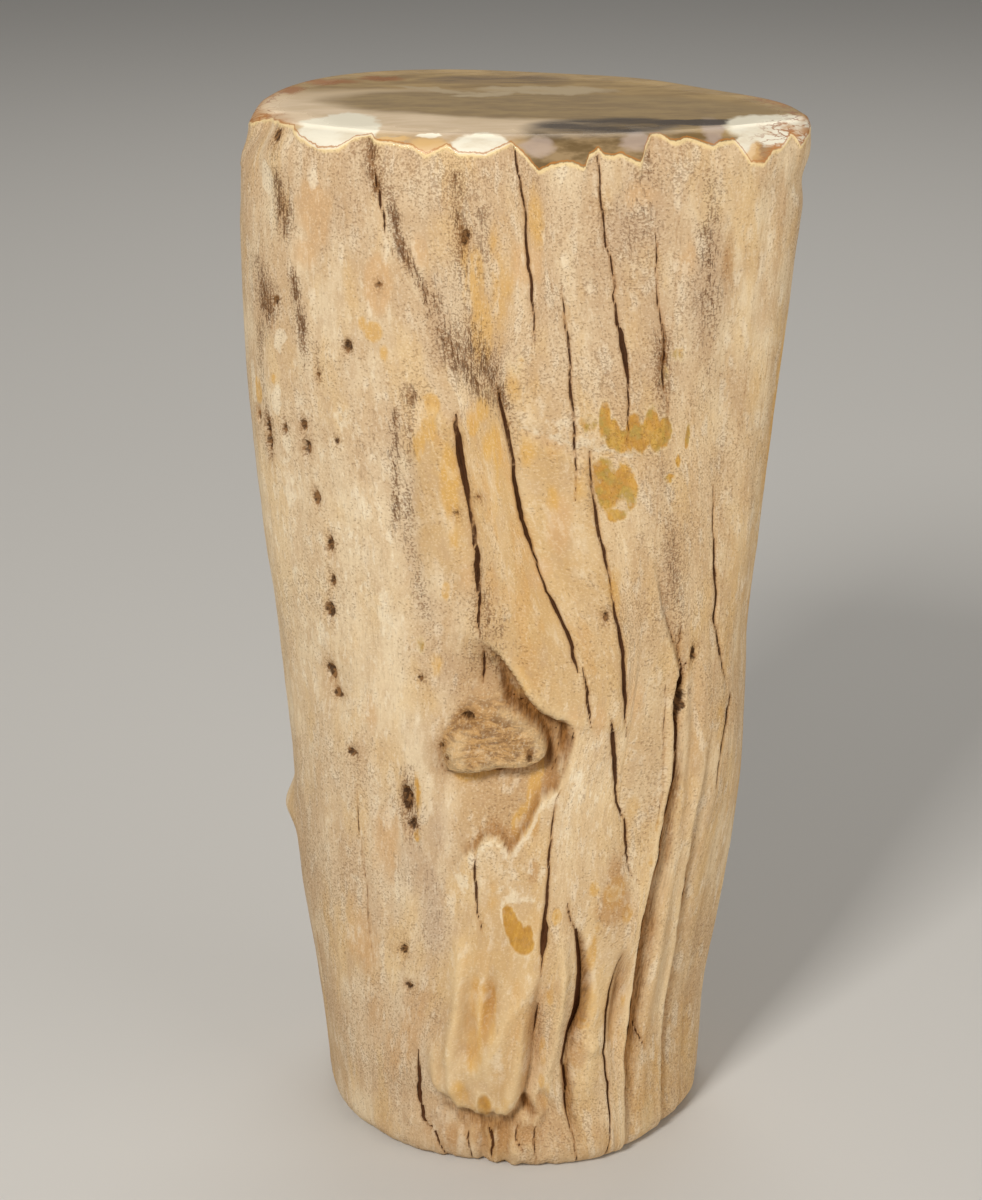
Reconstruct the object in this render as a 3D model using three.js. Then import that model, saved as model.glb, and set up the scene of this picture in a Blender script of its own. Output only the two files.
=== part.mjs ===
// Petrified wood: one cut length of fossil limb, standing on its sawn base, with a ground and
// polished top. Millimetres, +Z up, front towards -Y. The weathered side is one surface worked
// out from an angle around the limb and a height; everything that stands out or sinks in is added
// to it as relief, measured along the outward normal.
import * as THREE from 'three';

// Driving sizes.
const HEIGHT = 136;
const AXIS_Y = -1;
const STATION_STEP = 17;
const BASE_EDGE = 3;
const RIM_BLEND = 7;
const ROUND_DROP = 4.5;

// Half-width to the left and right and half-depth to the front and back, every STATION_STEP up
// from the base.
const LEFT = [26.9, 28.3, 30.2, 30.8, 32.1, 34.0, 35.2, 35.4, 34.9];
const RIGHT = [24.6, 25.3, 27.6, 29.2, 29.4, 31.0, 32.6, 34.1, 35.6];
const FRONT = [27.8, 26.2, 24.5, 23.0, 21.5, 20.0, 18.5, 17.5, 16.5];
const BACK = [21.0, 22.2, 23.4, 24.6, 25.6, 26.6, 27.4, 28.2, 29.0];

// Grain lines, left to right: the angle in degrees at each station. The mesh columns follow them,
// so that the long cracks and folds, which lie on them, come out as clean edges.
const GRAIN = [
  [-180, -180, -180, -180, -180, -180, -180, -180, -180],
  [-90, -90, -90, -90, -90, -90, -90, -90, -90],
  [-26, -23, -16, -15, -12, -9, -13, -16, -18],
  [1, 2, 6, 9, 14, 3, -4, -1, -3],
  [18, 11, 16, 18, 26, 19, 12, 7, 5],
  [30, 24, 31, 25.5, 30, 29, 23, 18, 15],
  [33, 32, 36, 41, 43, 40, 34, 29, 26],
  [53, 48, 51, 58, 57, 52, 48, 47, 46],
  [90, 90, 90, 90, 90, 90, 90, 90, 90],
  [180, 180, 180, 180, 180, 180, 180, 180, 180],
];
const COLUMNS_BETWEEN = [14, 22, 11, 7, 6, 5, 8, 12, 14];
// Bands of rows from the base up: height where the band starts, and its rows.
const ROW_BANDS = [[0, 14], [42, 7], [55, 12], [77, 13], [136, 0]];
// Above this height the rows ease down to end along the rim.
const ROWS_LEVEL_TO = 104;
// Rows of the ground edge, as shares of its drop.
const GROUND_ROWS = [0.4, 0];

// Relief tables. A line runs down the grain as [height, angle, width, depth].
const GROOVES = [
  { name: 'upper left crack', line: [[134, -2.5, 0.6, 0], [122, 0.5, 0.8, 0.7], [112, 2, 0.6, 0]] },
  {
    name: 'upper right crack',
    line: [[133, 14.3, 0.5, 0], [119, 17.8, 0.9, 1.0], [108, 21.5, 1.2, 1.6], [98, 23, 0.5, 0]],
  },
  { name: 'far right upper crack', line: [[131, 26, 0.6, 0], [113, 30, 0.9, 0.9], [99, 33, 0.5, 0]] },
  {
    name: 'black crack',
    line: [[103, -13.6, 0.6, 0], [95, -12.2, 1.2, 2.2], [83, -9.4, 1.2, 1.8], [74, -10, 0.6, 0]],
  },
  {
    name: 'long crack',
    line: [
      [106, -5.8, 0.6, 0], [95, -2, 1.1, 1.5], [81, 4.8, 1.0, 1.2], [72, 12, 1.0, 1.1],
      [64, 16.3, 0.9, 0.9], [61, 17, 0.5, 0],
    ],
  },
  {
    name: 'centre crack',
    line: [[98, 14.6, 0.6, 0], [84, 18.8, 0.9, 1.2], [70, 25.2, 1.0, 1.3], [60, 26.1, 0.6, 0]],
  },
  {
    name: 'centre crack foot',
    line: [[63, 22.3, 0.7, 0], [55, 23.4, 1.1, 1.0], [45, 27.6, 1.1, 0.8], [39, 32.6, 0.9, 0]],
  },
  {
    name: 'plate crack',
    line: [
      [54, 9.1, 0.6, 0], [44, 6.2, 1.0, 1.3], [33, 5.4, 1.5, 2.3], [20, 4, 1.3, 1.8],
      [12, 1.2, 1.1, 1.2], [8, 0, 1.0, 0],
    ],
  },
  { name: 'plate side valley', line: [[29, 5.1, 1.2, 0], [20, 4.1, 1.6, 1.4], [9, -0.4, 1.2, 0]] },
  {
    name: 'deep gap',
    line: [
      [38, 12.2, 0.7, 0], [33, 14.9, 1.3, 2.2], [24, 15.7, 1.9, 3.6], [18, 13.2, 1.8, 2.8],
      [12, 12.4, 1.3, 1.8], [4, 16.8, 1.1, 1.2], [0, 19.8, 1.0, 0.8],
    ],
  },
  {
    name: 'ridge crack',
    line: [
      [30, 29.3, 0.7, 0], [25, 25.7, 1.3, 1.8], [16, 24.6, 1.2, 1.6], [10, 27, 1.1, 1.2],
      [0, 28, 0.8, 0.5],
    ],
  },
  {
    name: 'right crack',
    line: [[92, 50, 0.6, 0], [79, 54, 0.9, 0.8], [65, 61.5, 1.0, 1.1], [52, 68, 0.6, 0]],
  },
  { name: 'left foot crack', line: [[16, -29, 0.7, 0], [8, -30, 1.1, 1.3], [0, -24.6, 0.9, 0.6]] },
  {
    name: 'dark bend round the knot',
    line: [
      [72, -4, 1.4, 0], [66.5, 0, 2.0, 0.6], [64, 5, 2.0, 0.8], [61, 8, 1.8, 0.9],
      [58, 7.6, 1.5, 0.8], [55, 4, 1.2, 0],
    ],
  },
  {
    name: 'plate groove',
    line: [[36, -9, 1.0, 0], [27, -10.7, 1.4, 0.5], [19, -12.7, 1.5, 0.6], [11, -14, 1.2, 0]],
  },
  {
    name: 'back crack',
    line: [[128, 158, 0.9, 0], [98, 166, 2.2, 2.0], [64, 172, 2.4, 2.2], [30, 166, 1.6, 0]],
  },
  {
    name: 'back left crack',
    line: [[96, -140, 0.9, 0], [66, -134, 2.2, 1.8], [34, -138, 2.4, 2.2], [0, -134, 1.8, 1.2]],
  },
  {
    name: 'back right crack',
    line: [[74, 128, 0.9, 0], [46, 122, 2.2, 2.2], [18, 126, 2.2, 2.0], [0, 124, 1.8, 1.2]],
  },
];
// A fold is a ledge: the wood stands proud on one side of the line and drops away on the other.
// side is the side that drops, +1 right or -1 left; the line gives [height, angle, width, drop].
const FOLDS = [
  {
    name: 'big fold',
    side: 1,
    line: [
      [76, 44, 2.0, 0], [66, 43.6, 2.0, 0.8], [59, 41.6, 2.4, 1.3], [47, 40.1, 3.2, 1.9],
      [39, 37, 3.6, 2.4], [30, 34.2, 3.6, 2.6], [20, 32.6, 3.0, 2.0], [6, 33.5, 2.6, 0.8],
      [0, 34, 2.4, 0.5],
    ],
  },
  {
    name: 'right fold',
    side: 1,
    line: [
      [60, 57, 2.0, 0], [50, 54, 2.2, 0.7], [40, 50.9, 2.6, 1.3], [26, 49, 2.8, 1.7],
      [16, 48.2, 2.6, 1.4], [0, 51, 2.2, 0.5],
    ],
  },
  {
    name: 'far right fold',
    side: 1,
    line: [[44, 76, 3, 0], [30, 71, 4, 0.8], [12, 69, 4, 0.8], [0, 71, 3, 0.4]],
  },
  {
    name: 'left back fold',
    side: -1,
    line: [[112, -122, 5, 0], [86, -116, 8, 1.6], [54, -120, 8, 1.8], [24, -116, 6, 0]],
  },
  {
    name: 'right back fold',
    side: 1,
    line: [[120, 112, 5, 0], [88, 118, 8, 1.8], [60, 114, 8, 1.4], [30, 118, 6, 0]],
  },
];
// Rounded bumps (+) and hollows (-): angle, height, half-width, half-height, how far out.
const BUMPS = [
  { name: 'left nodule', at: [-90, 41.5], size: [3.0, 2.6], out: 1.8 },
  { name: 'back knot', at: [150, 84], size: [9, 7], out: 2.2 },
  { name: 'back knot eye', at: [150, 84], size: [3.5, 3], out: -2.0 },
  { name: 'fold hole', at: [47, 65.5], size: [1.4, 3.4], out: -1.6 },
  { name: 'right crack swelling', at: [84, 63], size: [6, 6], out: 0.2 },
  { name: 'large pit', at: [-50.5, 65], size: [2.6, 3.0], out: -1.0 },
  { name: 'long pit', at: [-29, 50.5], size: [1.4, 3.0], out: -1.2 },
  { name: 'left pit', at: [-51, 97.4], size: [1.6, 2.2], out: -0.9 },
  { name: 'rim pit', at: [-67, 129], size: [2.0, 3.0], out: -0.8 },
  { name: 'low back pit', at: [-158, 22], size: [5, 4], out: -1.5 },
  { name: 'high back pit', at: [-152, 116], size: [4, 3.4], out: -1.3 },
  { name: 'side pit', at: [100, 100], size: [3, 4], out: -1.1 },
];
// How the outline departs from its plain ovals, all the way up: angle, half-angle, out at the top,
// out at the base.
const LOBES = [
  { name: 'full back left', at: -140, spread: 26, top: 3.4, base: 1.6 },
  { name: 'flat back right', at: 130, spread: 26, top: -4.2, base: -1.5 },
  { name: 'hollow of the back', at: 170, spread: 20, top: -2.4, base: -1.0 },
  { name: 'right shoulder', at: 70, spread: 15, top: 1.2, base: 0.4 },
];
// The rim, where the ground edge of the polished top meets the side: angle, and how far below the
// top.
const RIM = [
  [-180, 1.3], [-168, 0.7], [-156, 1.5], [-148, 1.0], [-138, 2.2], [-130, 1.0], [-120, 1.8],
  [-108, 1.7], [-98, 2.3], [-86, 1.2], [-76, 0.5], [-63, 0.4], [-57, 0.6], [-52, 1.4], [-48, 2.1],
  [-44, 2.4], [-40, 2.1], [-37, 0.8], [-33, 0.4], [-31.5, 1.0], [-26, 1.3], [-23, 1.5], [-20, 2.4],
  [-16, 1.2], [-13.3, 2.2], [-8, 2.1], [-3, 0.8], [-0.5, 2.0], [2.5, 4.1], [4.4, 3.5], [7.9, 2.7],
  [11.4, 3.7], [12.2, 2.3], [14.3, 1.5], [15.2, 2.2], [17.2, 2.5], [18.9, 2.2], [22.9, 3.4],
  [23.8, 1.6], [25.6, 0.3], [27.3, 0.3], [31, 1.2], [33.6, 0.8], [40, 1.8], [45.6, 1.3], [48, 2.8],
  [50, 4.3], [54.5, 4.4], [57, 3.1], [61, 2.6], [65, 1.4], [68, 3.1], [71, 2.2], [82, 1.2],
  [90, 1.8], [100, 0.8], [112, 1.6], [126, 0.8], [142, 1.5], [160, 0.8], [172, 1.5], [180, 1.3],
];
const RIM_LEAST = 0.4;
// How far the ground edge goes in from the side: at least, more in front, and more at the left.
const GROUND_INSET = { least: 1.4, front: 1.4, left: 4.1, leftAngle: -82, leftSpread: 15 };

// Knot, the hollow that it sits in, and the plates around it.
const KNOT = { angle: -7.2, height: 60, halfWidth: 7.4, above: 5.2, below: 3.8, out: 2.8 };
const HOLLOW = { depth: 2.0, leftFade: [-22, -8] };
// Upper edge: angle, height, and the height over which the hollow comes to its depth.
const HOLLOW_TOP = [
  [-14, 78, 8], [-7.5, 75.5, 7.5], [-5.6, 74, 7.5], [-1.2, 70.5, 7], [4.1, 65, 4.5], [11.6, 62.8, 3],
  [20, 61, 2],
];
const HOLLOW_FOOT = [[-17, 43.8], [-7.5, 47.4], [-3.3, 45.9], [2.2, 50.6], [8.8, 53.9]];
const HOLLOW_RIGHT = [[66, 13], [59.4, 11.7], [54, 8.8], [46, 8]];
const SLAB_LEFT = [[105, -19], [98, -23], [84, -23], [76, -19], [70, -14]];
const SLAB_RIGHT = [[104, 2], [98, 13], [84, 19], [72, 24], [58, 27]];
const SLAB = { out: 0.5, top: 104, foot: 62, leftAngle: -9, leftFoot: 78 };
const PLATE_LEFT = [[46, -13], [42, -17.3], [30, -15.7], [19.7, -20.4], [15, -24.9], [9, -23]];
const PLATE_FOOT = [[-26, 13], [-20, 8.3], [-12, 7.9], [-4.3, 9.2], [2, 15]];
const PLATE_RIGHT = [[47, 8], [31.5, 5.1], [23.4, 3.4], [10, 0]];
const PLATE = { out: 2.4, top: 47, fullBelow: 23 };
const FOOT_RECESS = { angle: -9, halfAngle: 26, height: 9, depth: 1.2 };
const LIP_NOTCH = { angle: 90, height: 128.5, halfWidth: 9, halfHeight: 2.2, depth: 0.8 };

const rad = THREE.MathUtils.degToRad;
const clamp = THREE.MathUtils.clamp;
const smooth = (low, high, x) => THREE.MathUtils.smoothstep(x, low, high);
const bell = (t) => Math.exp(-t * t);

// Smallest turn from one angle to another, in degrees.
const turn = (from, to) => THREE.MathUtils.euclideanModulo(to - from + 180, 360) - 180;

// A smooth value between stations STATION_STEP apart (Catmull-Rom).
function station(values, height) {
  const place = clamp(height / STATION_STEP, 0, values.length - 1);
  const i = Math.min(Math.floor(place), values.length - 2);
  const t = place - i;
  const before = values[Math.max(i - 1, 0)];
  const after = values[Math.min(i + 2, values.length - 1)];
  const [from, to] = [values[i], values[i + 1]];
  const bend = 2 * before - 5 * from + 4 * to - after;
  const twist = 3 * (from - to) + after - before;
  return from + 0.5 * t * (to - before + t * (bend + t * twist));
}

// Straight-line reading of a table of [key, value, ...] whose keys rise or fall all the way.
function read(table, key, column = 1) {
  const rising = table[table.length - 1][0] > table[0][0];
  const rows = rising ? table : [...table].reverse();
  if (key <= rows[0][0]) return rows[0][column];
  for (let i = 1; i < rows.length; i += 1) {
    if (key <= rows[i][0]) {
      const t = (key - rows[i - 1][0]) / (rows[i][0] - rows[i - 1][0]);
      return THREE.MathUtils.lerp(rows[i - 1][column], rows[i][column], t);
    }
  }
  return rows[rows.length - 1][column];
}

// 1 between two heights of a table of heights, 0 past them.
const within = (line, height) => height <= line[0][0] && height >= line[line.length - 1][0];

// The two semi-axes of the oval at an angle and height.
function semiAxes(angle, height) {
  const turned = rad(angle);
  const across = Math.sin(turned) >= 0 ? station(RIGHT, height) : station(LEFT, height);
  const deep = Math.cos(turned) >= 0 ? station(FRONT, height) : station(BACK, height);
  return [across, deep];
}

// Millimetres along the outline for one degree.
function perDegree(angle, height) {
  const [across, deep] = semiAxes(angle, height);
  const turned = rad(angle);
  return rad(Math.hypot(across * Math.cos(turned), deep * Math.sin(turned)));
}

function lobes(angle, height) {
  const up = height / HEIGHT;
  return LOBES.reduce((sum, lobe) => {
    const out = THREE.MathUtils.lerp(lobe.base, lobe.top, up);
    return sum + out * bell(turn(lobe.at, angle) / lobe.spread);
  }, 0);
}

// Long low swellings of the wood, a few tenths of a millimetre.
function swellings(angle, height) {
  const around = rad(angle);
  const long = 0.35 * Math.sin(5 * around + height / 31);
  const short = 0.2 * Math.sin(11 * around - height / 17 + 1.3);
  return long + short;
}

// Millimetres to the right of a line, square to it.
function offLine(line, angle, height, scale) {
  const slope = (read(line, height + 1) - read(line, height - 1)) * 0.5 * scale;
  return (turn(read(line, height), angle) * scale) / Math.hypot(1, slope);
}

function grooves(angle, height, scale) {
  let depth = 0;
  for (const { line } of GROOVES) {
    if (within(line, height)) {
      const off = offLine(line, angle, height, scale);
      depth += read(line, height, 3) * bell(off / read(line, height, 2));
    }
  }
  return -depth;
}

// The ledge side rises gently to its edge and the other side starts low and climbs back.
function folds(angle, height, scale) {
  let out = 0;
  for (const { line, side } of FOLDS) {
    if (within(line, height)) {
      const off = side * offLine(line, angle, height, scale);
      const width = read(line, height, 2);
      const drop = read(line, height, 3);
      const lowSide = smooth(-0.3, 0.6, off);
      const fall = bell(off / (off > 0 ? width : 0.7 * width));
      out += drop * fall * THREE.MathUtils.lerp(0.3, -0.7, lowSide);
    }
  }
  return out;
}

function bumps(angle, height, scale) {
  return BUMPS.reduce((sum, bump) => {
    const sideways = (turn(bump.at[0], angle) * scale) / bump.size[0];
    const upward = (height - bump.at[1]) / bump.size[1];
    return sum + bump.out * bell(Math.hypot(sideways, upward));
  }, 0);
}

// The hollow below the overhanging slab, deepest at its right, running out to the left.
function hollow(angle, height, scale) {
  const under = smooth(-0.4, read(HOLLOW_TOP, angle, 2), read(HOLLOW_TOP, angle) - height);
  const over = smooth(-0.5, 1.6, height - read(HOLLOW_FOOT, angle));
  const inside = smooth(-0.5, 1.2, (read(HOLLOW_RIGHT, height) - angle) * scale);
  const fade = smooth(HOLLOW.leftFade[0], HOLLOW.leftFade[1], angle);
  return -HOLLOW.depth * under * over * inside * fade;
}

// The knot: an oval burl, taller above its middle than below.
function knot(angle, height, scale) {
  const sideways = ((angle - KNOT.angle) * scale) / KNOT.halfWidth;
  const rise = height - KNOT.height;
  const upward = rise / (rise > 0 ? KNOT.above : KNOT.below);
  return KNOT.out * (1 - smooth(0.55, 1.1, Math.hypot(sideways, upward)));
}

// A thin slab. Its foot fades out left of the knot.
function slab(angle, height, scale) {
  const inside = smooth(-0.9, 1, (angle - read(SLAB_LEFT, height)) * scale);
  const under = smooth(-0.5, 0.8, SLAB.top - height);
  const foot = angle < SLAB.leftAngle ? SLAB.leftFoot : SLAB.foot;
  const over = smooth(-2, 2, height - foot);
  const rightSide = smooth(-1.6, 0.8, (read(SLAB_RIGHT, height) - angle) * scale);
  return SLAB.out * inside * under * over * rightSide;
}

// The raised plate low on the front, thick at its foot and running out upwards, and the rough
// recess that it overhangs.
function plate(angle, height, scale) {
  const inside = smooth(-0.6, 1.2, (angle - read(PLATE_LEFT, height)) * scale);
  const over = smooth(-0.4, 1.2, height - read(PLATE_FOOT, angle));
  const leftOfCrack = smooth(-0.3, 0.9, (read(PLATE_RIGHT, height) - angle) * scale);
  const thick = 1 - 0.84 * smooth(PLATE.fullBelow, PLATE.top, height);
  const top = smooth(0, 1.2, PLATE.top - height);
  const low = bell((angle - FOOT_RECESS.angle) / FOOT_RECESS.halfAngle);
  const recess = low * smooth(FOOT_RECESS.height + 3, FOOT_RECESS.height - 2, height);
  return PLATE.out * inside * over * leftOfCrack * thick * top - FOOT_RECESS.depth * recess;
}

function lipNotch(angle, height, scale) {
  const sideways = (turn(LIP_NOTCH.angle, angle) * scale) / LIP_NOTCH.halfWidth;
  const upward = (height - LIP_NOTCH.height) / LIP_NOTCH.halfHeight;
  return -LIP_NOTCH.depth * bell(Math.hypot(sideways, upward));
}

// The worn edge of the base, a quarter round.
function baseEdge(height) {
  const left = clamp(1 - height / BASE_EDGE, 0, 1);
  return -BASE_EDGE * 0.7 * (1 - Math.sqrt(1 - left * left));
}

// How far the ground edge of the top goes in from the side.
function groundInset(angle) {
  const front = GROUND_INSET.front * smooth(0.1, 0.6, Math.cos(rad(angle)));
  const left = GROUND_INSET.left * bell(turn(GROUND_INSET.leftAngle, angle) / GROUND_INSET.leftSpread);
  return GROUND_INSET.least + front + left;
}

// The ground edge is a quarter ellipse, this far in at a drop below the top.
function groundEdge(angle, drop) {
  const left = clamp(1 - drop / ROUND_DROP, 0, 1);
  return -groundInset(angle) * (1 - Math.sqrt(1 - left * left));
}

// How far below the top the ground edge meets the weathered side.
const rimDrop = (angle) => Math.max(read(RIM, angle), RIM_LEAST);

function relief(angle, height) {
  const scale = perDegree(angle, height);
  const rimHeight = HEIGHT - rimDrop(angle);
  const nearRim = smooth(rimHeight - RIM_BLEND, rimHeight, height);
  const carved =
    swellings(angle, height) +
    grooves(angle, height, scale) +
    folds(angle, height, scale) +
    bumps(angle, height, scale) +
    hollow(angle, height, scale) +
    knot(angle, height, scale) +
    slab(angle, height, scale) +
    plate(angle, height, scale) +
    lipNotch(angle, height, scale);
  const atRim = groundEdge(angle, rimDrop(angle));
  const side = THREE.MathUtils.lerp(carved, atRim, nearRim * nearRim);
  return side + lobes(angle, height) + baseEdge(height);
}

// A point of the limb: the oval, pushed out along its normal.
function point(angle, height, out) {
  const [across, deep] = semiAxes(angle, height);
  const turned = rad(angle);
  const normal = new THREE.Vector2(Math.sin(turned) / across, -Math.cos(turned) / deep).normalize();
  const x = across * Math.sin(turned) + normal.x * out;
  const y = AXIS_Y - deep * Math.cos(turned) + normal.y * out;
  return new THREE.Vector3(x, y, height);
}

// The columns' angles at a height, once round, without the last line, which is the first again.
function columnAngles(height) {
  return COLUMNS_BETWEEN.flatMap((count, i) => {
    const from = station(GRAIN[i], height);
    const to = station(GRAIN[i + 1], height);
    return Array.from({ length: count }, (_, j) => from + ((to - from) * j) / count);
  });
}

// Rows of points from the base edge up the side, over the ground edge to the flat polished face.
function sideRows() {
  const levels = ROW_BANDS.slice(0, -1).flatMap(([from, count], band) => {
    const to = ROW_BANDS[band + 1][0];
    return Array.from({ length: count }, (_, row) => from + ((to - from) * row) / count);
  });
  const rows = [...levels, HEIGHT].map((level) => columnAngles(level).map((angle) => {
    const height = level - rimDrop(angle) * smooth(ROWS_LEVEL_TO, HEIGHT, level);
    return point(angle, height, relief(angle, height));
  }));
  for (const share of GROUND_ROWS) {
    rows.push(columnAngles(HEIGHT).map((angle) => {
      const drop = rimDrop(angle) * share;
      return point(angle, HEIGHT - drop, lobes(angle, HEIGHT) + groundEdge(angle, drop));
    }));
  }
  return rows;
}

// One closed body: quads between the rows, a fan over the base and a fan over the polished face.
function limbGeometry() {
  const rows = sideRows();
  const around = rows[0].length;
  const points = rows.flat();
  const faces = [];
  for (let row = 0; row + 1 < rows.length; row += 1) {
    for (let i = 0; i < around; i += 1) {
      const next = (i + 1) % around;
      const [a, b] = [row * around + i, row * around + next];
      const [c, d] = [a + around, b + around];
      faces.push(a, b, d, a, d, c);
    }
  }
  const last = (rows.length - 1) * around;
  const baseMiddle = points.push(new THREE.Vector3(0, AXIS_Y, 0)) - 1;
  const topMiddle = points.push(new THREE.Vector3(0, AXIS_Y, HEIGHT)) - 1;
  for (let i = 0; i < around; i += 1) {
    const next = (i + 1) % around;
    faces.push(baseMiddle, next, i);
    faces.push(topMiddle, last + i, last + next);
  }
  const geometry = new THREE.BufferGeometry().setFromPoints(points);
  geometry.setIndex(faces);
  geometry.computeBoundingBox();
  const middle = geometry.boundingBox.getCenter(new THREE.Vector3());
  geometry.translate(-middle.x, -middle.y, 0);
  geometry.computeVertexNormals();
  return geometry;
}

const fossilWood = new THREE.MeshStandardMaterial({
  color: new THREE.Color('rgb(209, 178, 138)'),
  roughness: 0.8,
  metalness: 0,
});

const limb = new THREE.Mesh(limbGeometry(), fossilWood);
limb.name = 'petrified_limb';

const part = new THREE.Group();
part.add(limb);

export default part;
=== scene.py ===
"""Petrified wood: a cut length of fossil limb standing on its sawn base, with a polished top.

The limb is one closed mesh. Its weathered side is worked out from two parameters, an angle round
the limb in degrees (0 in front, 90 right, 180 behind) and a height in millimetres. Ovals give the
plain outline, and everything that stands out or sinks in is relief along the outward normal. The
same fields of relief and tone go to the mesh as attributes, which the materials read.
"""
import itertools
import math

import bpy
import numpy as np
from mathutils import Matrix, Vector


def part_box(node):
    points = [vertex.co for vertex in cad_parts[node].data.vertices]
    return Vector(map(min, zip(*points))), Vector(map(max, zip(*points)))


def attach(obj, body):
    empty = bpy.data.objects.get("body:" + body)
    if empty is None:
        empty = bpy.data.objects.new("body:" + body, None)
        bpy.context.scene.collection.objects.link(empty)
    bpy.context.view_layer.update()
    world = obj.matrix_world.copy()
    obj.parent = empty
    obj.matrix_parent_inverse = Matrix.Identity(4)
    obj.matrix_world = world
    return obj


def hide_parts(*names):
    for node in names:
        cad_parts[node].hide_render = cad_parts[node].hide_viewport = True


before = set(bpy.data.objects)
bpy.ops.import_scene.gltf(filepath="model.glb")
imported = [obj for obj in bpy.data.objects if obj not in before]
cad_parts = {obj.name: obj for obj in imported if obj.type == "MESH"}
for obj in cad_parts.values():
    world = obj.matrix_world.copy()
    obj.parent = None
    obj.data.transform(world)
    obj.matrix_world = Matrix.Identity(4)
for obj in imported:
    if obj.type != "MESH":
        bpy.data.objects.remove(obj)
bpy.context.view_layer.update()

NODE = "petrified_limb"
MM = 0.001
WEATHERED, POLISHED, SAWN = range(3)

# Driving sizes in millimetres, as in the part. The limb's own box gives its height.
low_corner, high_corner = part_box(NODE)
HEIGHT = (high_corner[2] - low_corner[2]) / MM
AXIS_Y = -1.0
# Half-width and half-depth of the round limb that noise is read on, and of the straight grain.
MEAN_WIDTH = 30
MEAN_DEPTH = 24
GRAIN_WIDTH = 31
GRAIN_DEPTH = 23
# Half-angle of the front, where the knot, slab and plate lie.
FRONT_REACH = 75
# The worn edge of the base: its height, how far in it goes, and the last ring as a share of it.
BASE_EDGE = 3.0
BASE_INSET = 0.7 * BASE_EDGE
BASE_RING = 0.985

# The ground edge of the top: how high its rounding is, and how far in it goes all round, then in
# front and at the worn shoulder on the left besides. The side's relief eases into it over
# RIM_BLEND, rows shift down with the rim from RIM_SHIFT_START up, and distances from the rim are
# kept up to RIM_REACH. The rings of the flat face close in on FACE_MIDDLE.
ROUND_DROP = 4.5
ROUND_INSET = 1.4
FRONT_INSET = 1.4
SHOULDER_ANGLE = -82
SHOULDER_SPREAD = 15
SHOULDER_INSET = 4.1
SHOULDER_BLEND = 3.5
RIM_BLEND = 4.0
RIM_SHIFT_START = 104
RIM_LEAST = 0.25
RIM_REACH = 20
FACE_MIDDLE = np.array([0, AXIS_Y + 6, HEIGHT])

# Half-width to the left and right and half-depth to the front and back, every STATION_STEP up.
LEFT = [26.9, 28.3, 30.2, 30.8, 32.1, 34.0, 35.2, 35.4, 34.9]
RIGHT = [24.6, 25.3, 27.6, 29.2, 29.4, 31.0, 32.6, 34.1, 35.6]
FRONT = [27.8, 26.2, 24.5, 23.0, 21.5, 20.0, 18.5, 17.5, 16.5]
BACK = [21.0, 22.2, 23.4, 24.6, 25.6, 26.6, 27.4, 28.2, 29.0]
STATION_STEP = HEIGHT / (len(LEFT) - 1)

# Grain lines, left to right: the angle at each station. The mesh columns follow them.
GRAIN = [
    [-180, -180, -180, -180, -180, -180, -180, -180, -180],
    [-90, -90, -90, -90, -90, -90, -90, -90, -90],
    [-26, -23, -16, -15, -12, -9, -13, -16, -18],
    [1, 2, 6, 9, 14, 3, -4, -1, -3],
    [18, 11, 16, 18, 26, 19, 12, 7, 5],
    [30, 24, 31, 25.5, 30, 29, 23, 18, 15],
    [33, 32, 36, 41, 43, 40, 34, 29, 26],
    [53, 48, 51, 58, 57, 52, 48, 47, 46],
    [90, 90, 90, 90, 90, 90, 90, 90, 90],
    [180, 180, 180, 180, 180, 180, 180, 180, 180],
]
# Columns from each grain line to the next.
COLUMNS_BETWEEN = [56, 100, 52, 28, 26, 24, 34, 52, 56]
# Bands of rows from the base up: the height where a band starts, and its rows.
ROW_BANDS = [(0, 6), (2, 190), (130, 8), (134, 8), (136, 0)]
# Shares of the way: up the ground edge from the rim, then in over the face.
GROUND_ROWS = (0.8, 0.6, 0.4, 0.2, 0.0)
FACE_RINGS = (0.012, 0.05, 0.12, 0.3, 0.6)

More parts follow.
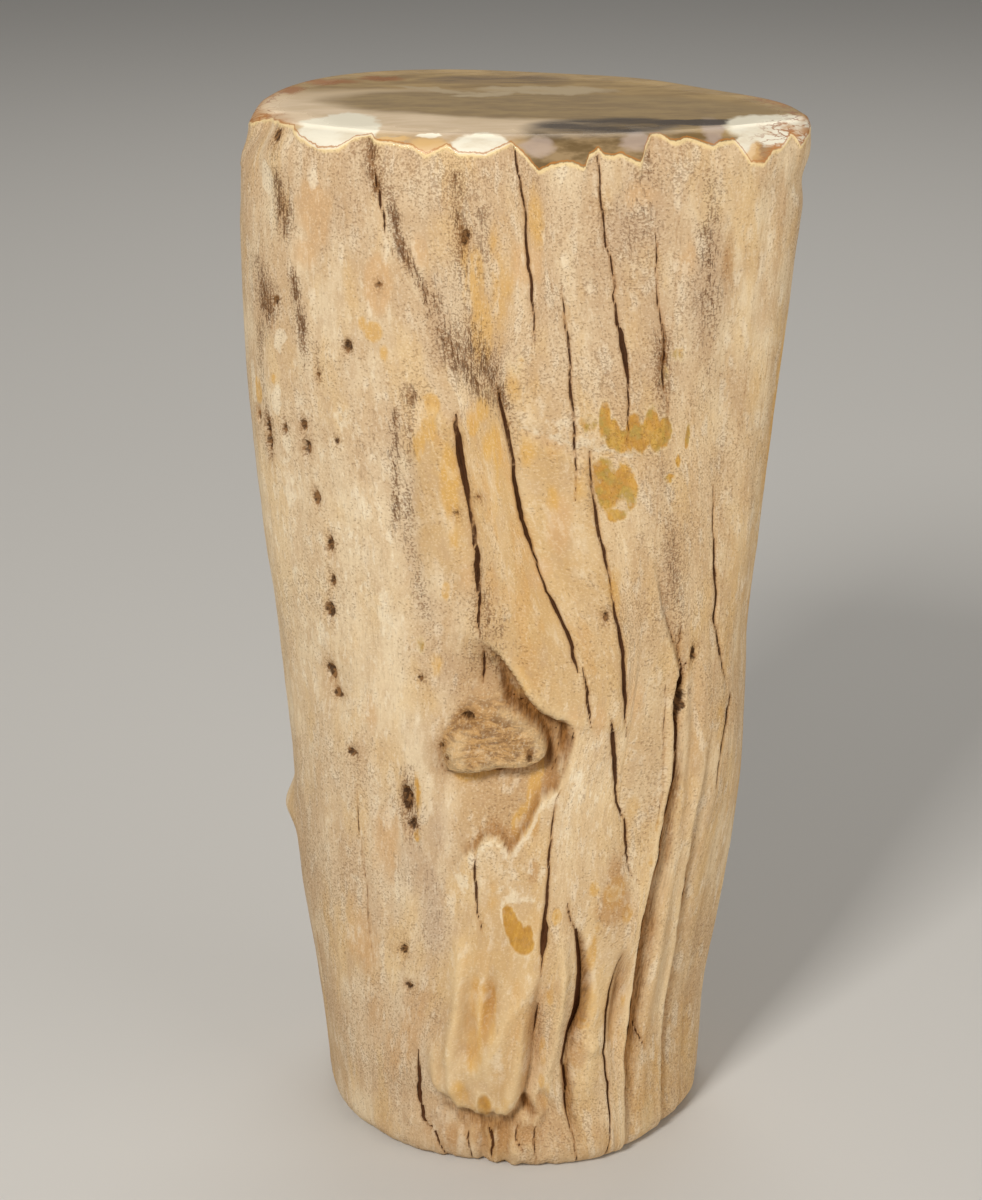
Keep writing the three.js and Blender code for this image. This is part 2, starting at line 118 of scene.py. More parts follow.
# Cracks: [height, angle, half-width, depth] down each line.
CRACKS = [
    [(136, -3, 0.1, 0.3), (131, -1.6, 0.14, 0.5), (125, 0, 0.16, 0.6), (120, 0.8, 0.2, 0.7),
     (115, 1.7, 0.14, 0.5), (111, 2.2, 0.05, 0)],
    [(119, 7, 0.05, 0), (112, 8.7, 0.17, 0.7), (102, 10.6, 0.2, 0.8), (95, 11.4, 0.15, 0.5),
     (91, 12, 0.05, 0)],
    [(134, 14.2, 0.12, 0.4), (128, 15, 0.15, 0.6), (119, 17.8, 0.13, 0.6), (115, 19, 0.16, 0.7),
     (113.2, 19.7, 0.26, 1.1), (110.5, 20.6, 0.36, 1.4), (108, 21.5, 0.28, 1.2), (106.2, 22, 0.16, 0.7),
     (102, 22.7, 0.11, 0.5), (98, 23, 0.05, 0)],
    [(125, 26.8, 0.05, 0), (122, 27.3, 0.12, 0.4), (116, 28.6, 0.15, 0.5), (112, 30.4, 0.2, 0.6),
     (107, 30.6, 0.14, 0.5), (103, 32.2, 0.1, 0.3), (99, 33, 0.04, 0)],
    [(103, -13.6, 0.08, 0), (101.5, -13.4, 0.3, 1.4), (98, -13, 0.44, 2.3), (94, -12, 0.4, 2.2),
     (91.5, -11.5, 0.29, 1.5), (87, -10.3, 0.3, 1.5), (83, -9.5, 0.36, 1.8), (79, -9.3, 0.28, 1.3),
     (75.5, -9.8, 0.16, 0.7), (73.6, -10, 0.05, 0)],
    [(72.5, -9.4, 0.08, 0), (71, -9.5, 0.22, 0.8), (68.5, -9.8, 0.18, 0.7), (67, -9.9, 0.05, 0)],
    [(107, -6.3, 0.08, 0), (104.9, -5.2, 0.18, 0.8), (100.5, -3.6, 0.26, 1.2), (95.5, -2.2, 0.26, 1.2),
     (90, -0.8, 0.29, 1.3), (87.9, -0.2, 0.24, 1.1), (84, 3, 0.15, 0.9), (80.8, 4.6, 0.08, 0)],
    [(82, 4.2, 0.06, 0), (79, 6.2, 0.22, 1), (74, 10.2, 0.24, 1), (70.5, 12.7, 0.2, 0.9),
     (68.8, 13.6, 0.05, 0)],
    [(70.2, 13.6, 0.06, 0), (66.8, 15.3, 0.22, 0.9), (64, 16.3, 0.2, 0.8), (61.5, 16.9, 0.04, 0)],
    [(98, 14.6, 0.08, 0), (96, 14.8, 0.15, 0.6), (91.5, 15.8, 0.24, 0.9), (84, 18.8, 0.26, 1.1),
     (80, 20.5, 0.12, 0.6), (77, 21.6, 0.2, 0.8), (73, 23.7, 0.26, 1), (69.6, 25.3, 0.3, 1.1),
     (65, 26.3, 0.28, 1), (61.7, 26.2, 0.1, 0.4), (59.4, 26, 0.04, 0)],
    [(63.5, 22.2, 0.06, 0), (62, 22.4, 0.2, 0.7), (59.7, 22.8, 0.3, 1), (55, 23.4, 0.27, 1),
     (51.7, 24.3, 0.14, 0.7), (48, 26.5, 0.22, 0.9), (44, 27.9, 0.2, 0.8), (41, 30.4, 0.1, 0.4),
     (38.5, 33, 0.04, 0)],
    [(54.5, 9.2, 0.04, 0), (50, 7.6, 0.12, 0.6), (45, 6.2, 0.17, 0.8), (41.5, 5.8, 0.18, 0.9),
     (38.7, 5.5, 0.2, 1), (36.2, 5.3, 0.24, 1.2), (34.8, 5.6, 0.46, 1.6), (32.8, 5.7, 0.44, 1.6),
     (31.2, 5.3, 0.18, 0.9), (28, 5.1, 0.06, 0)],
    [(24.4, 4.9, 0.04, 0), (22.6, 4.5, 0.16, 0.4), (20.6, 3.9, 0.14, 0.4), (18.6, 3.2, 0.04, 0)],
    [(45.6, -12.2, 0.05, 0), (43, -11.8, 0.16, 0.5), (39, -11.2, 0.17, 0.5), (35.6, -10.6, 0.13, 0.4),
     (33.6, -10.2, 0.04, 0)],
    [(38.5, 12, 0.05, 0), (37.4, 12.8, 0.14, 0.6), (35.4, 14, 0.18, 0.8), (33.2, 15.2, 0.24, 1.1),
     (30.3, 16.2, 0.36, 1.2), (28.1, 16.5, 0.46, 1.3), (25.3, 16.5, 0.54, 1.3), (23.2, 16.2, 0.58, 1.3),
     (21.9, 15.2, 0.4, 1.2), (19.8, 13.3, 0.28, 1.1), (16.3, 11.8, 0.22, 1), (12.6, 12.6, 0.24, 1),
     (9.7, 13.4, 0.2, 0.9), (6.5, 14.6, 0.16, 0.7), (4, 16.1, 0.14, 0.6), (0, 18.5, 0.1, 0.3)],
    [(29.9, 29, 0.05, 0), (27.2, 27.4, 0.16, 0.8), (24.6, 25.8, 0.22, 1.1), (22.4, 25.5, 0.24, 1.1),
     (18.8, 25.3, 0.2, 1), (15.9, 24.9, 0.16, 0.8), (11.4, 26.7, 0.18, 0.9), (7.5, 27.2, 0.14, 0.7),
     (3.8, 27.7, 0.1, 0.4), (0, 28, 0.08, 0.3)],
    [(92, 48.5, 0.05, 0), (86, 50, 0.12, 0.5), (81.3, 51.6, 0.18, 0.7), (77, 54, 0.16, 0.6),
     (73.5, 54.8, 0.24, 0.8), (71.6, 56.1, 0.14, 0.7), (68.5, 58.2, 0.2, 0.8), (65.8, 59.4, 0.14, 0.6),
     (63, 62, 0.06, 0)],
    [(62.4, 63.8, 0.06, 0), (60.5, 64.4, 0.26, 0.9), (58, 62.8, 0.24, 0.8), (55.5, 60.6, 0.16, 0.6),
     (52, 59.8, 0.12, 0.4), (48.5, 59.4, 0.05, 0)],
    [(73.6, 43, 0.05, 0), (72, 43.2, 0.14, 0.5), (69.6, 43.7, 0.12, 0.4), (68, 43.8, 0.04, 0)],
    [(68.8, 46.8, 0.04, 0), (67.9, 45.2, 0.12, 0.4), (67.2, 44, 0.1, 0.3), (66.6, 43.4, 0.04, 0)],
    [(66.6, -5.1, 0.05, 0), (65.4, -3.2, 0.15, 0.4), (64.5, -1, 0.15, 0.4), (63.4, 2, 0.08, 0.3),
     (62, 4.4, 0.12, 0.3), (60.7, 6, 0.1, 0.3), (59.3, 6.5, 0.05, 0)],
    [(62.6, 5.6, 0.05, 0), (61.7, 7.9, 0.1, 0.3), (60.9, 8.9, 0.12, 0.3), (59.8, 9.2, 0.12, 0.3),
     (58.4, 8.9, 0.09, 0.3), (57, 7.9, 0.07, 0.2), (55.6, 6.8, 0.04, 0)],
    [(62.2, 11.6, 0.08, 0), (60.8, 11.8, 0.13, 0.3), (59.4, 11.5, 0.11, 0.3), (58.2, 11, 0.05, 0)],
    [(6.6, -9.6, 0.05, 0), (5.2, -9.1, 0.24, 0.8), (3.8, -8.6, 0.2, 0.6), (2.2, -9.4, 0.1, 0.3),
     (0, -9, 0.08, 0.2)],
    [(7.4, -0.2, 0.05, 0), (6.2, -1.6, 0.12, 0.5), (4.8, -1.9, 0.14, 0.5), (3.6, -0.6, 0.15, 0.5),
     (2.6, 0.8, 0.05, 0)],
    [(7, 4.4, 0.05, 0), (4.6, 3.6, 0.14, 0.5), (2, 4.8, 0.1, 0.4), (0, 5.2, 0.06, 0.2)],
    [(6, -15.2, 0.05, 0), (4, -15.8, 0.16, 0.5), (1.6, -15, 0.14, 0.4), (0, -15.4, 0.08, 0.2)],
    [(66, 38, 0.04, 0), (57, 38.5, 0.12, 0.4), (47, 37, 0.04, 0)],
    [(16.5, -29, 0.05, 0), (12.7, -29.5, 0.24, 1), (8.6, -30, 0.34, 1.2), (5.7, -29.7, 0.28, 1),
     (3.8, -26, 0.24, 0.9), (1.6, -24.9, 0.2, 0.7), (0, -24.5, 0.15, 0.5)],
    [(20, 35.6, 0.05, 0), (18, 37.5, 0.18, 0.8), (15.8, 39.8, 0.2, 0.8), (14, 41.6, 0.05, 0)],
    [(133, -31.5, 0.05, 0), (130, -30.5, 0.2, 0.5), (126, -28.5, 0.16, 0.4), (121, -26.5, 0.05, 0)],
    [(52, -44, 0.04, 0), (40, -43, 0.1, 0.3), (26, -42, 0.04, 0)],
    [(118, 160, 0.05, 0), (106, 163, 0.22, 0.9), (92, 167, 0.4, 1.6), (80, 170, 0.26, 1.2),
     (68, 171, 0.34, 1.4), (54, 169, 0.05, 0)],
    [(92, -141, 0.05, 0), (78, -137, 0.24, 1), (64, -134, 0.42, 1.6), (50, -136, 0.3, 1.3),
     (38, -138, 0.44, 1.7), (26, -136, 0.16, 0.8), (17, -135, 0.05, 0)],
    [(70, 128, 0.05, 0), (58, 125, 0.26, 1), (46, 122, 0.4, 1.6), (34, 124, 0.3, 1.2),
     (20, 127, 0.36, 1.3), (9, 125, 0.05, 0)],
    [(13, -131, 0.05, 0), (7, -132, 0.2, 0.8), (0, -131, 0.16, 0.5)],
    [(16, 131, 0.05, 0), (8, 133, 0.18, 0.8), (0, 132, 0.14, 0.5)],
    [(134, -160, 0.08, 0), (126, -158, 0.18, 0.7), (112, -155, 0.05, 0)],
    [(134, 118, 0.08, 0), (124, 120, 0.16, 0.6), (114, 119, 0.05, 0)],
    [(126, 104, 0.05, 0), (114, 106, 0.2, 0.8), (100, 107, 0.26, 0.9), (86, 105, 0.05, 0)],
    [(88, -166, 0.05, 0), (72, -163, 0.3, 1.1), (52, -165, 0.05, 0)],
    [(60, -98, 0.05, 0), (44, -101, 0.24, 1), (22, -99, 0.05, 0)],
    [(118, -108, 0.05, 0), (104, -106, 0.22, 0.9), (92, -107, 0.05, 0)],
    [(60, 148, 0.05, 0), (44, 150, 0.26, 1), (22, 147, 0.05, 0)],
    [(52, 84, 0.05, 0), (40, 82, 0.16, 0.6), (22, 83, 0.05, 0)],
    [(30, -70, 0.05, 0), (18, -72, 0.16, 0.6), (4, -71, 0.05, 0)],
]

# Soft valleys (+ depth) and thin ribs (- depth): [height, angle, half-width, depth] down each line.
VALLEYS = [
    [(29, 5.1, 0.5, 0), (26, 4.6, 0.7, 0.9), (21.6, 3.6, 1, 1.6), (16.6, 2.8, 1.1, 1.7),
     (13, 1.4, 1, 1.4), (10, 0, 0.8, 0.6), (8, -1, 0.6, 0)],
    [(63, 7.6, 0.4, 0), (61.5, 8.6, 0.45, -0.5), (59.5, 9, 0.5, -0.6), (57, 8.6, 0.5, -0.5),
     (55, 7.4, 0.4, 0)],
    [(35, 9.4, 0.7, 0), (31.7, 10.4, 0.9, -0.8), (28.5, 11.2, 0.9, -1.1), (23.5, 10.4, 0.9, -1.1),
     (18.2, 8.8, 0.9, -0.9), (14.7, 7.2, 0.8, -0.6), (11, 7.4, 0.7, 0)],
    [(29.5, -12.8, 0.8, 0), (26.2, -13.6, 1, 0.8), (23.4, -14.1, 1, 1.1), (18, -13.4, 1, 1),
     (15, -11.4, 0.8, 0.5), (12, -10.6, 0.7, 0)],
    [(29.5, -7.2, 0.6, 0), (27.2, -7.7, 0.8, 0.8), (24.6, -8.2, 0.9, 1.2), (22.2, -8.7, 0.7, 0.9),
     (20, -9.6, 0.5, 0)],
    [(29, 1.6, 1, 0), (25.9, 0, 1.2, -0.7), (23.8, -3.2, 1.3, -1), (20.1, -6.6, 1.4, -1),
     (16.4, -10.1, 1.2, -0.8), (13.5, -12, 0.9, 0)],
    [(34, -15.4, 0.6, 0), (32.2, -15.6, 0.8, -0.5), (28.2, -16.1, 0.9, -0.8), (23.2, -16.9, 0.9, -0.9),
     (19.4, -18.7, 0.9, -0.8), (15.7, -19.6, 0.9, -0.8), (12.1, -19.2, 0.8, -0.5), (9.5, -19, 0.6, 0)],
    [(20, -21, 0.8, 0), (17, -23.2, 1, -0.7), (13, -23.4, 1, -0.8), (10, -21.6, 0.8, 0)],
    [(20, -20, 0.6, 0), (17, -21.5, 0.7, 0.5), (13, -21.5, 0.7, 0.5), (10.5, -20.4, 0.5, 0)],
    [(16, -6.4, 0.8, 0), (12.5, -6.8, 1, 0.6), (9.6, -7.4, 0.8, 0)],
    [(15, -13.6, 0.8, 0), (12, -14.6, 1, 0.6), (9, -15, 0.8, 0)],
    [(30, 21, 1.2, 0), (22, 20.5, 1.4, -0.5), (12, 19.5, 1.4, -0.4), (5, 21, 1.2, 0)],
    [(30, 29.5, 0.9, 0), (24, 29.5, 1, 0.7), (17, 29, 1, 0.6), (10, 30, 0.9, 0)],
    [(50, 46, 0.9, 0), (38, 43.5, 1, -0.4), (26, 42, 1.1, -0.5), (14, 41, 1, 0)],
    [(74, 48, 0.8, 0), (62, 49, 0.9, 0.5), (50, 48, 0.9, 0.4), (42, 46.5, 0.8, 0)],
    [(9, -12.2, 0.5, 0), (6.4, -12.6, 0.7, 0.8), (3.6, -12, 0.7, 0.7), (0, -12.6, 0.6, 0.4)],
    [(9, -5.4, 0.5, 0), (6.2, -5, 0.7, 0.8), (3.2, -5.8, 0.8, 0.7), (0, -5.2, 0.6, 0.4)],
    [(9.4, 8.6, 0.6, 0), (7, 7.6, 0.9, 0.8), (4.2, 8, 0.9, 0.6), (0, 7.6, 0.7, 0.3)],
    [(13.2, 5.4, 0.6, 0), (11.2, 6.4, 0.8, 0.7), (9.2, 9.2, 0.8, 0.5), (7.6, 11, 0.5, 0)],
]

# Recesses round the knot and beside the plate, as the valleys, darkened with painted shade.
RECESSES = [
    [(34.5, 15.2, 0.3, 0), (32.5, 15.8, 0.5, 0.9), (28, 17.4, 0.6, 1.1), (24.6, 17.4, 0.75, 1.3),
     (22.4, 16.6, 0.9, 1.4), (20.6, 15.2, 0.9, 1.1), (19, 14.2, 0.7, 0.8), (17, 13.4, 0.6, 0.7),
     (14, 13.2, 0.7, 1), (11, 13.8, 0.7, 0.9), (8, 14.8, 0.6, 0.6), (4, 18, 0.5, 0.2)],
    [(31, 29.5, 0.6, 0), (28, 29.6, 0.9, 0.5), (24, 28.6, 0.9, 0.7), (20, 27.4, 0.7, 0.5),
     (16, 27, 0.6, 0)],
    [(11.6, 0.4, 0.4, 0), (10.6, 0.4, 0.8, 1), (9.4, 1.4, 0.8, 1.2), (8.4, 2.8, 0.6, 0.6),
     (7.6, 3.4, 0.4, 0)],
    [(72.6, -6, 0.3, 0), (70, -5, 0.4, 0.5), (67.5, -3.9, 0.6, 1), (65.3, -2.4, 0.8, 1.4),
     (63.7, 1.6, 0.8, 1.5), (62, 5, 0.7, 1.4), (60.3, 6.8, 0.6, 1.2), (58.6, 7.3, 0.5, 1),
     (57.2, 6.4, 0.4, 0.7), (56, 3.6, 0.3, 0)],
    [(63, 10.6, 0.3, 0), (60.8, 11.2, 0.6, 0.9), (58, 10.6, 0.5, 0.8), (55.5, 9.4, 0.4, 0.4),
     (53.5, 8, 0.3, 0)],
]

# Folds: the side that drops (+1 right, -1 left), then [height, angle, width, drop] down the line.
FOLDS = [
    (1, [(84, 31.5, 1.2, 0), (80.7, 33.2, 1.2, 0.4), (75.6, 35.8, 1.3, 0.6), (70.8, 39.9, 1.3, 0.7),
         (67, 43, 1.3, 0.8), (64.4, 42.2, 1.3, 0.9), (61.9, 40.8, 1.4, 1), (59.9, 41.4, 1.5, 1.1),
         (57.6, 42, 1.6, 1.2), (53.4, 41.1, 1.8, 1.3), (48.7, 39.6, 2.1, 1.5), (42.9, 38.3, 2.4, 1.7),
         (40.3, 37.1, 2.6, 1.8), (36.5, 36, 2.8, 1.9), (33.6, 34.6, 2.8, 1.9), (28, 33.7, 2.7, 1.8),
         (21.2, 33.3, 2.4, 1.6), (14.5, 32.7, 2.2, 1.2), (6, 33.5, 2, 0.7), (0, 34, 1.8, 0.5)]),
    (1, [(58, 55, 1.4, 0), (50, 52.4, 1.5, 0.5), (45.8, 50.6, 1.6, 0.7), (41.2, 50.4, 1.6, 0.8),
         (38.4, 49.5, 1.6, 0.9), (32, 49.6, 1.6, 0.9), (27.4, 49.3, 1.6, 0.9), (19.7, 48.3, 1.6, 0.9),
         (15, 48.4, 1.6, 0.9), (11.4, 50, 1.5, 0.8), (0, 51, 1.4, 0.5)]),
    (1, [(46, 63, 2, 0), (34, 60, 2.2, 0.25), (22, 59, 2.2, 0.3), (8, 60, 2.2, 0.2), (0, 61, 2, 0.2)]),
    (1, [(44, 78, 2.5, 0), (30, 73, 3, 0.5), (12, 71, 3, 0.5), (0, 73, 2.5, 0.3)]),
    (-1, [(112, -122, 2.5, 0), (86, -116, 4, 1), (54, -120, 4, 1.2), (24, -116, 3, 0)]),
    (1, [(120, 112, 2.5, 0), (88, 118, 4, 1.2), (60, 114, 3.4, 0.9), (30, 118, 3, 0)]),
]

# Rounded bumps (+) and hollows (-): angle, height, half-width, half-height, how far out.
BUMPS = [
    (-90, 41.5, 3.6, 3, 1.5), (150, 84, 9, 7, 2.2), (150, 84, 3.5, 3, -2), (84, 63, 6, 6, 0.2),
    (-158, 22, 5, 4, -1.5), (-152, 116, 4, 3.4, -1.3), (100, 100, 3, 4, -1.1),
    (-50.5, 65, 2.8, 3.2, -0.6), (-66, 128, 2.2, 3, -0.5), (24, 5, 2.4, 3, 0.5),
    (21, 17.6, 1.2, 0.9, 0.7), (-4, 3.4, 2.6, 2.4, 0.6), (-14, 4.6, 2.2, 2, 0.5),
]

# Pits: angle, height, half-width, half-height, depth.
PITS = [
    (-63.3, 134.3, 0.5, 0.7, 0.6), (-60.7, 114.3, 0.3, 0.35, 0.5), (-37.8, 109.8, 0.5, 0.7, 0.8),
    (-52.5, 98.9, 0.42, 0.6, 0.9), (-52, 95.9, 0.5, 0.9, 1), (-68.3, 96.2, 0.5, 1.7, 0.8),
    (-46.6, 105.7, 0.22, 0.4, 0.5), (-74.3, 98.4, 0.4, 0.6, 0.6), (-59.9, 97.8, 0.3, 0.6, 0.5),
    (-49.9, 89.6, 0.4, 0.8, 0.6), (-46.5, 83.9, 0.42, 0.9, 0.7), (-41.9, 97.6, 0.2, 0.3, 0.4),
    (-47, 79, 0.3, 0.5, 0.5), (-49, 75, 0.5, 1, 0.7), (-51.5, 66.4, 0.7, 1.1, 0.7),
    (-49.5, 63.4, 0.8, 0.5, 0.5), (-45, 56, 0.7, 0.6, 0.6), (-12, 124, 0.4, 0.9, 0.6),
    (-14, 90, 0.3, 0.35, 0.5), (20, 76.5, 0.35, 0.5, 0.5), (-32, 30, 0.45, 0.4, 0.6),
    (-31, 25, 0.6, 0.4, 0.6), (-29.4, 51.3, 0.6, 1.5, 1.2), (-28, 47.8, 0.6, 0.7, 0.9),
    (43.5, 63.6, 0.7, 2.5, 1.3), (47.6, 69.4, 0.35, 0.9, 0.5), (47.4, 64, 0.25, 0.3, 0.4),
    (-30, 118, 0.25, 0.4, 0.5), (-13.3, 63.3, 0.75, 0.42, 1.1), (-19.4, 59.3, 0.3, 0.35, 0.5),
    (-17.7, 58.1, 0.3, 0.25, 0.5), (1.5, 58.6, 0.25, 0.6, 0.5), (-24, 68, 0.2, 0.3, 0.4),
    (-9.3, 92.2, 0.22, 0.22, 0.5), (100, 54, 1, 1.6, 1.1), (118, 76, 0.8, 2, 1.1),
    (140, 30, 1.2, 1.8, 1.2), (-110, 60, 0.8, 1.4, 1), (-128, 98, 1, 1.6, 1.1), (-146, 48, 1.1, 2, 1.2),
    (168, 118, 1.2, 1.4, 1.2), (-172, 88, 1, 2.2, 1.2), (-104, 112, 0.7, 1.8, 0.9),
]

# Outline lobes: angle, half-angle, out at the top, out at the base.
LOBES = [(-140, 26, 3.4, 1.6), (130, 26, -4.2, -1.5), (170, 20, -2.4, -1), (70, 15, 1.2, 0.4)]

# The rim, where the polished ground edge meets the side: angle, and how far below the top.
RIM = [
    (-180, 1.3), (-168, 0.7), (-156, 1.5), (-148, 1), (-138, 2.2), (-130, 1), (-120, 1.8), (-108, 1.7),
    (-98, 2.3), (-86, 1.2), (-76, 0.4), (-63, 0.3), (-57, 0.5), (-52, 1.4), (-48, 2.1), (-44, 2.4),
    (-40, 2.1), (-37, 0.8), (-33, 0.4), (-31.5, 1), (-26, 1.3), (-23, 1.5), (-20, 2.4), (-16, 1.2),
    (-13.3, 2.2), (-8, 2.1), (-3, 0.8), (-0.5, 2), (2.5, 4.1), (4.4, 3.5), (7.9, 2.7), (11.4, 3.7),
    (12.2, 2.3), (14.3, 1.5), (15.2, 2.2), (17.2, 2.5), (18.9, 2.2), (22.9, 3.4), (23.8, 1.6),
    (25.6, 0.3), (27.3, 0.3), (31, 1.2), (33.6, 0.8), (40, 1.8), (45.6, 1.3), (48, 2.8), (50, 4.3),
    (54.5, 4.4), (57, 3.1), (61, 2.6), (65, 1.4), (68, 3.1), (71, 2.2), (82, 1.2), (90, 1.8),
    (100, 0.8), (112, 1.6), (126, 0.8), (142, 1.5), (160, 0.8), (172, 1.5), (180, 1.3),
]

# The knot's outline round its middle: a direction in degrees (0 right, 90 up), how far out the
# edge lies that way, and how softly the knot rises from it.
KNOT_MIDDLE = (-7.0, 60.2)
KNOT_EDGE = [
    (0, 7.4, 1.3), (22, 6.5, 1.5), (41, 5.8, 1.7), (62, 6, 2.2), (76, 6.4, 2.8), (90, 7.4, 4.2),
    (100, 8, 5), (111, 7.7, 5), (124, 6.8, 4.2), (140, 6.3, 3.6), (162, 6.4, 3.2), (182, 6.9, 2.8),
    (202, 7.2, 2), (213, 7.4, 1.4), (222, 6.3, 0.9), (235, 5.1, 0.7), (250, 4.3, 0.6), (266, 3.9, 0.55),
    (290, 4, 0.55), (306, 4.4, 0.6), (326, 5.9, 0.7), (339, 6.9, 1), (353, 7.4, 1.2), (360, 7.4, 1.3),
]
KNOT_OUT = 2.5

# The hollow's, slab's and plate's edges: tops and feet as (angle, height), sides as (height,
# angle). The hollow fades in between the two angles of HOLLOW_FADE.
HOLLOW_DEPTH = 2.0
HOLLOW_FADE = (-22, -8)
HOLLOW_TOP = [
    (-14, 75), (-7.5, 73), (-5.6, 71.9), (-3.4, 70.4), (-1.2, 68.5), (0.4, 66.7), (2, 65.2), (4.1, 64),
    (7.4, 63.3), (11.6, 62.4), (20, 61),
]
HOLLOW_FOOT = [
    (-19, 41.6), (-17.2, 42.4), (-15.2, 44.3), (-12.7, 45.2), (-11.9, 45.1), (-10.7, 46.4),
    (-8.7, 47.4), (-7.3, 47.6), (-5.8, 47), (-4.8, 46.7), (-3.4, 45.2), (-1.9, 46.6), (0.5, 48),
    (2, 49.6), (3, 51), (4, 52.3), (6, 53.1), (8.8, 53.8),
]
HOLLOW_RIGHT = [(66, 13), (62, 11.8), (59.4, 11.7), (56.4, 9.6), (54, 8.8), (46, 8)]
SLAB_LEFT = [(105, -19), (98, -23), (84, -23), (76, -19), (70, -14)]
SLAB_TOP = [
    (-24, 98), (-21, 103), (-18.5, 104.5), (-15, 101.5), (-13, 101), (-10, 104), (-7, 106), (-4.5, 104),
    (-2, 100.5), (7, 98.5), (12, 96.5), (26, 95),
]
SLAB_RIGHT = [(104, 2), (98, 13), (91, 16), (84, 19), (72, 24), (62, 26), (58, 27)]
SLAB_FOOT = [(-24, 70), (-14, 73), (-6, 72), (0.4, 66.7), (4.1, 64), (11.6, 62.4), (26, 60.8)]
SLAB_OUT = 0.4
PLATE_LEFT = [
    (46, -13), (43.4, -16.6), (37.4, -16.8), (32.8, -16.8), (28.2, -17.4), (23, -19.6), (19.2, -22.4),
    (16.7, -25), (13.6, -25.2), (11.7, -24.2), (9.8, -21.2),
]
PLATE_FOOT = [
    (-26, 13), (-24, 11.5), (-21.2, 9.6), (-17.6, 8.2), (-11.8, 7.8), (-4.7, 8.5), (-1.2, 9.7),
    (0.5, 11.8), (2, 15),
]
PLATE_RIGHT = [
    (47, 8), (41, 6), (31.5, 5.1), (29, 4.9), (25.5, 4.2), (20.9, 3.2), (16.6, 1.8), (11.9, 0.4),
]
PLATE_TOP = 47
PLATE_OUT = 1.5
CHIPPED_EDGE = [(-4, 106), (-2, 101.5), (3, 100.5), (7, 99.5), (11, 98), (15, 98), (20, 97.5), (26, 97)]

# Patches of tone: angle, height, half-width, half-height, strength. Ochre stains come first.
OCHRE = [
    (17.4, 101.6, 0.8, 2.4, 0.9), (19.4, 99.8, 1, 1.8, 0.95), (21.6, 98.8, 1.1, 1.5, 0.9),
    (24.2, 99.9, 1, 2.4, 1), (26.4, 98.8, 1.1, 1.9, 1), (28.6, 100.3, 0.9, 2.5, 0.95),
    (30.4, 99, 1, 2, 1), (32.4, 99.4, 0.9, 2.1, 1), (14, 101.6, 1.3, 1.2, 0.6),
    (17.5, 95, 1.6, 1.8, 0.9), (19.5, 92.8, 1.9, 2.4, 1), (22.4, 93.8, 1.5, 1.9, 0.9),
    (24.2, 92.4, 1.2, 1.5, 0.8), (21.5, 89.2, 1.6, 0.8, 0.8), (24.8, 90.6, 0.8, 0.9, 0.7),
    (38.6, 98.4, 0.35, 1.7, 0.9), (36.6, 95.6, 0.4, 0.9, 0.8), (34.6, 93.4, 0.9, 0.7, 0.6),
    (34, 109, 1.2, 1.2, 0.5), (31, 106.6, 0.7, 1.4, 0.45), (-3.8, 37.4, 0.7, 0.9, 1.1),
    (-3.2, 36.2, 0.9, 1.3, 1.2), (-2.2, 34.9, 1.15, 1.5, 1.2), (-1, 33.7, 1.3, 1.5, 1.2),
    (0.1, 32.9, 1.35, 1.35, 1.2), (1, 34.3, 0.8, 1.2, 1), (1.6, 36.2, 0.5, 0.9, 0.5),
    (24.9, 38.6, 1.2, 1.2, 0.5), (20.4, 34.4, 0.6, 1, 0.5), (17.4, 21.4, 0.7, 0.5, 0.7),
    (-10.3, 10.1, 1, 2.2, 0.8), (-6.6, 9.6, 0.6, 0.8, 0.5), (-13.6, 21.6, 1.4, 4.6, 0.4),
    (35.5, 46, 0.5, 1.6, 0.5), (35.8, 42.3, 0.5, 1.4, 0.5), (8.9, 36.6, 0.5, 0.8, 0.5),
    (-6.6, 71, 0.8, 1.6, 0.4), (-23.6, 72.4, 0.7, 1.4, 0.6), (-26, 53, 0.4, 2.6, 0.6),
    (14.4, 101, 1.1, 1, 0.7), (-26.6, 46.5, 0.6, 1, 0.5), (-17.4, 58.6, 0.5, 1.6, 0.4),
    (-2, 109, 1.4, 1.8, 0.35), (37.5, 46, 0.7, 3.2, 0.5), (-12, 16, 0.8, 3, 0.3), (44, 4, 1.6, 3, 0.4),
    (88, 20, 2, 4, 0.5), (120, 66, 2.4, 5, 0.6), (-130, 76, 2.6, 4.4, 0.6), (165, 40, 2.4, 4.6, 0.6),
    (-160, 100, 2.2, 4, 0.6), (-105, 30, 1.4, 2.6, 0.5),
]
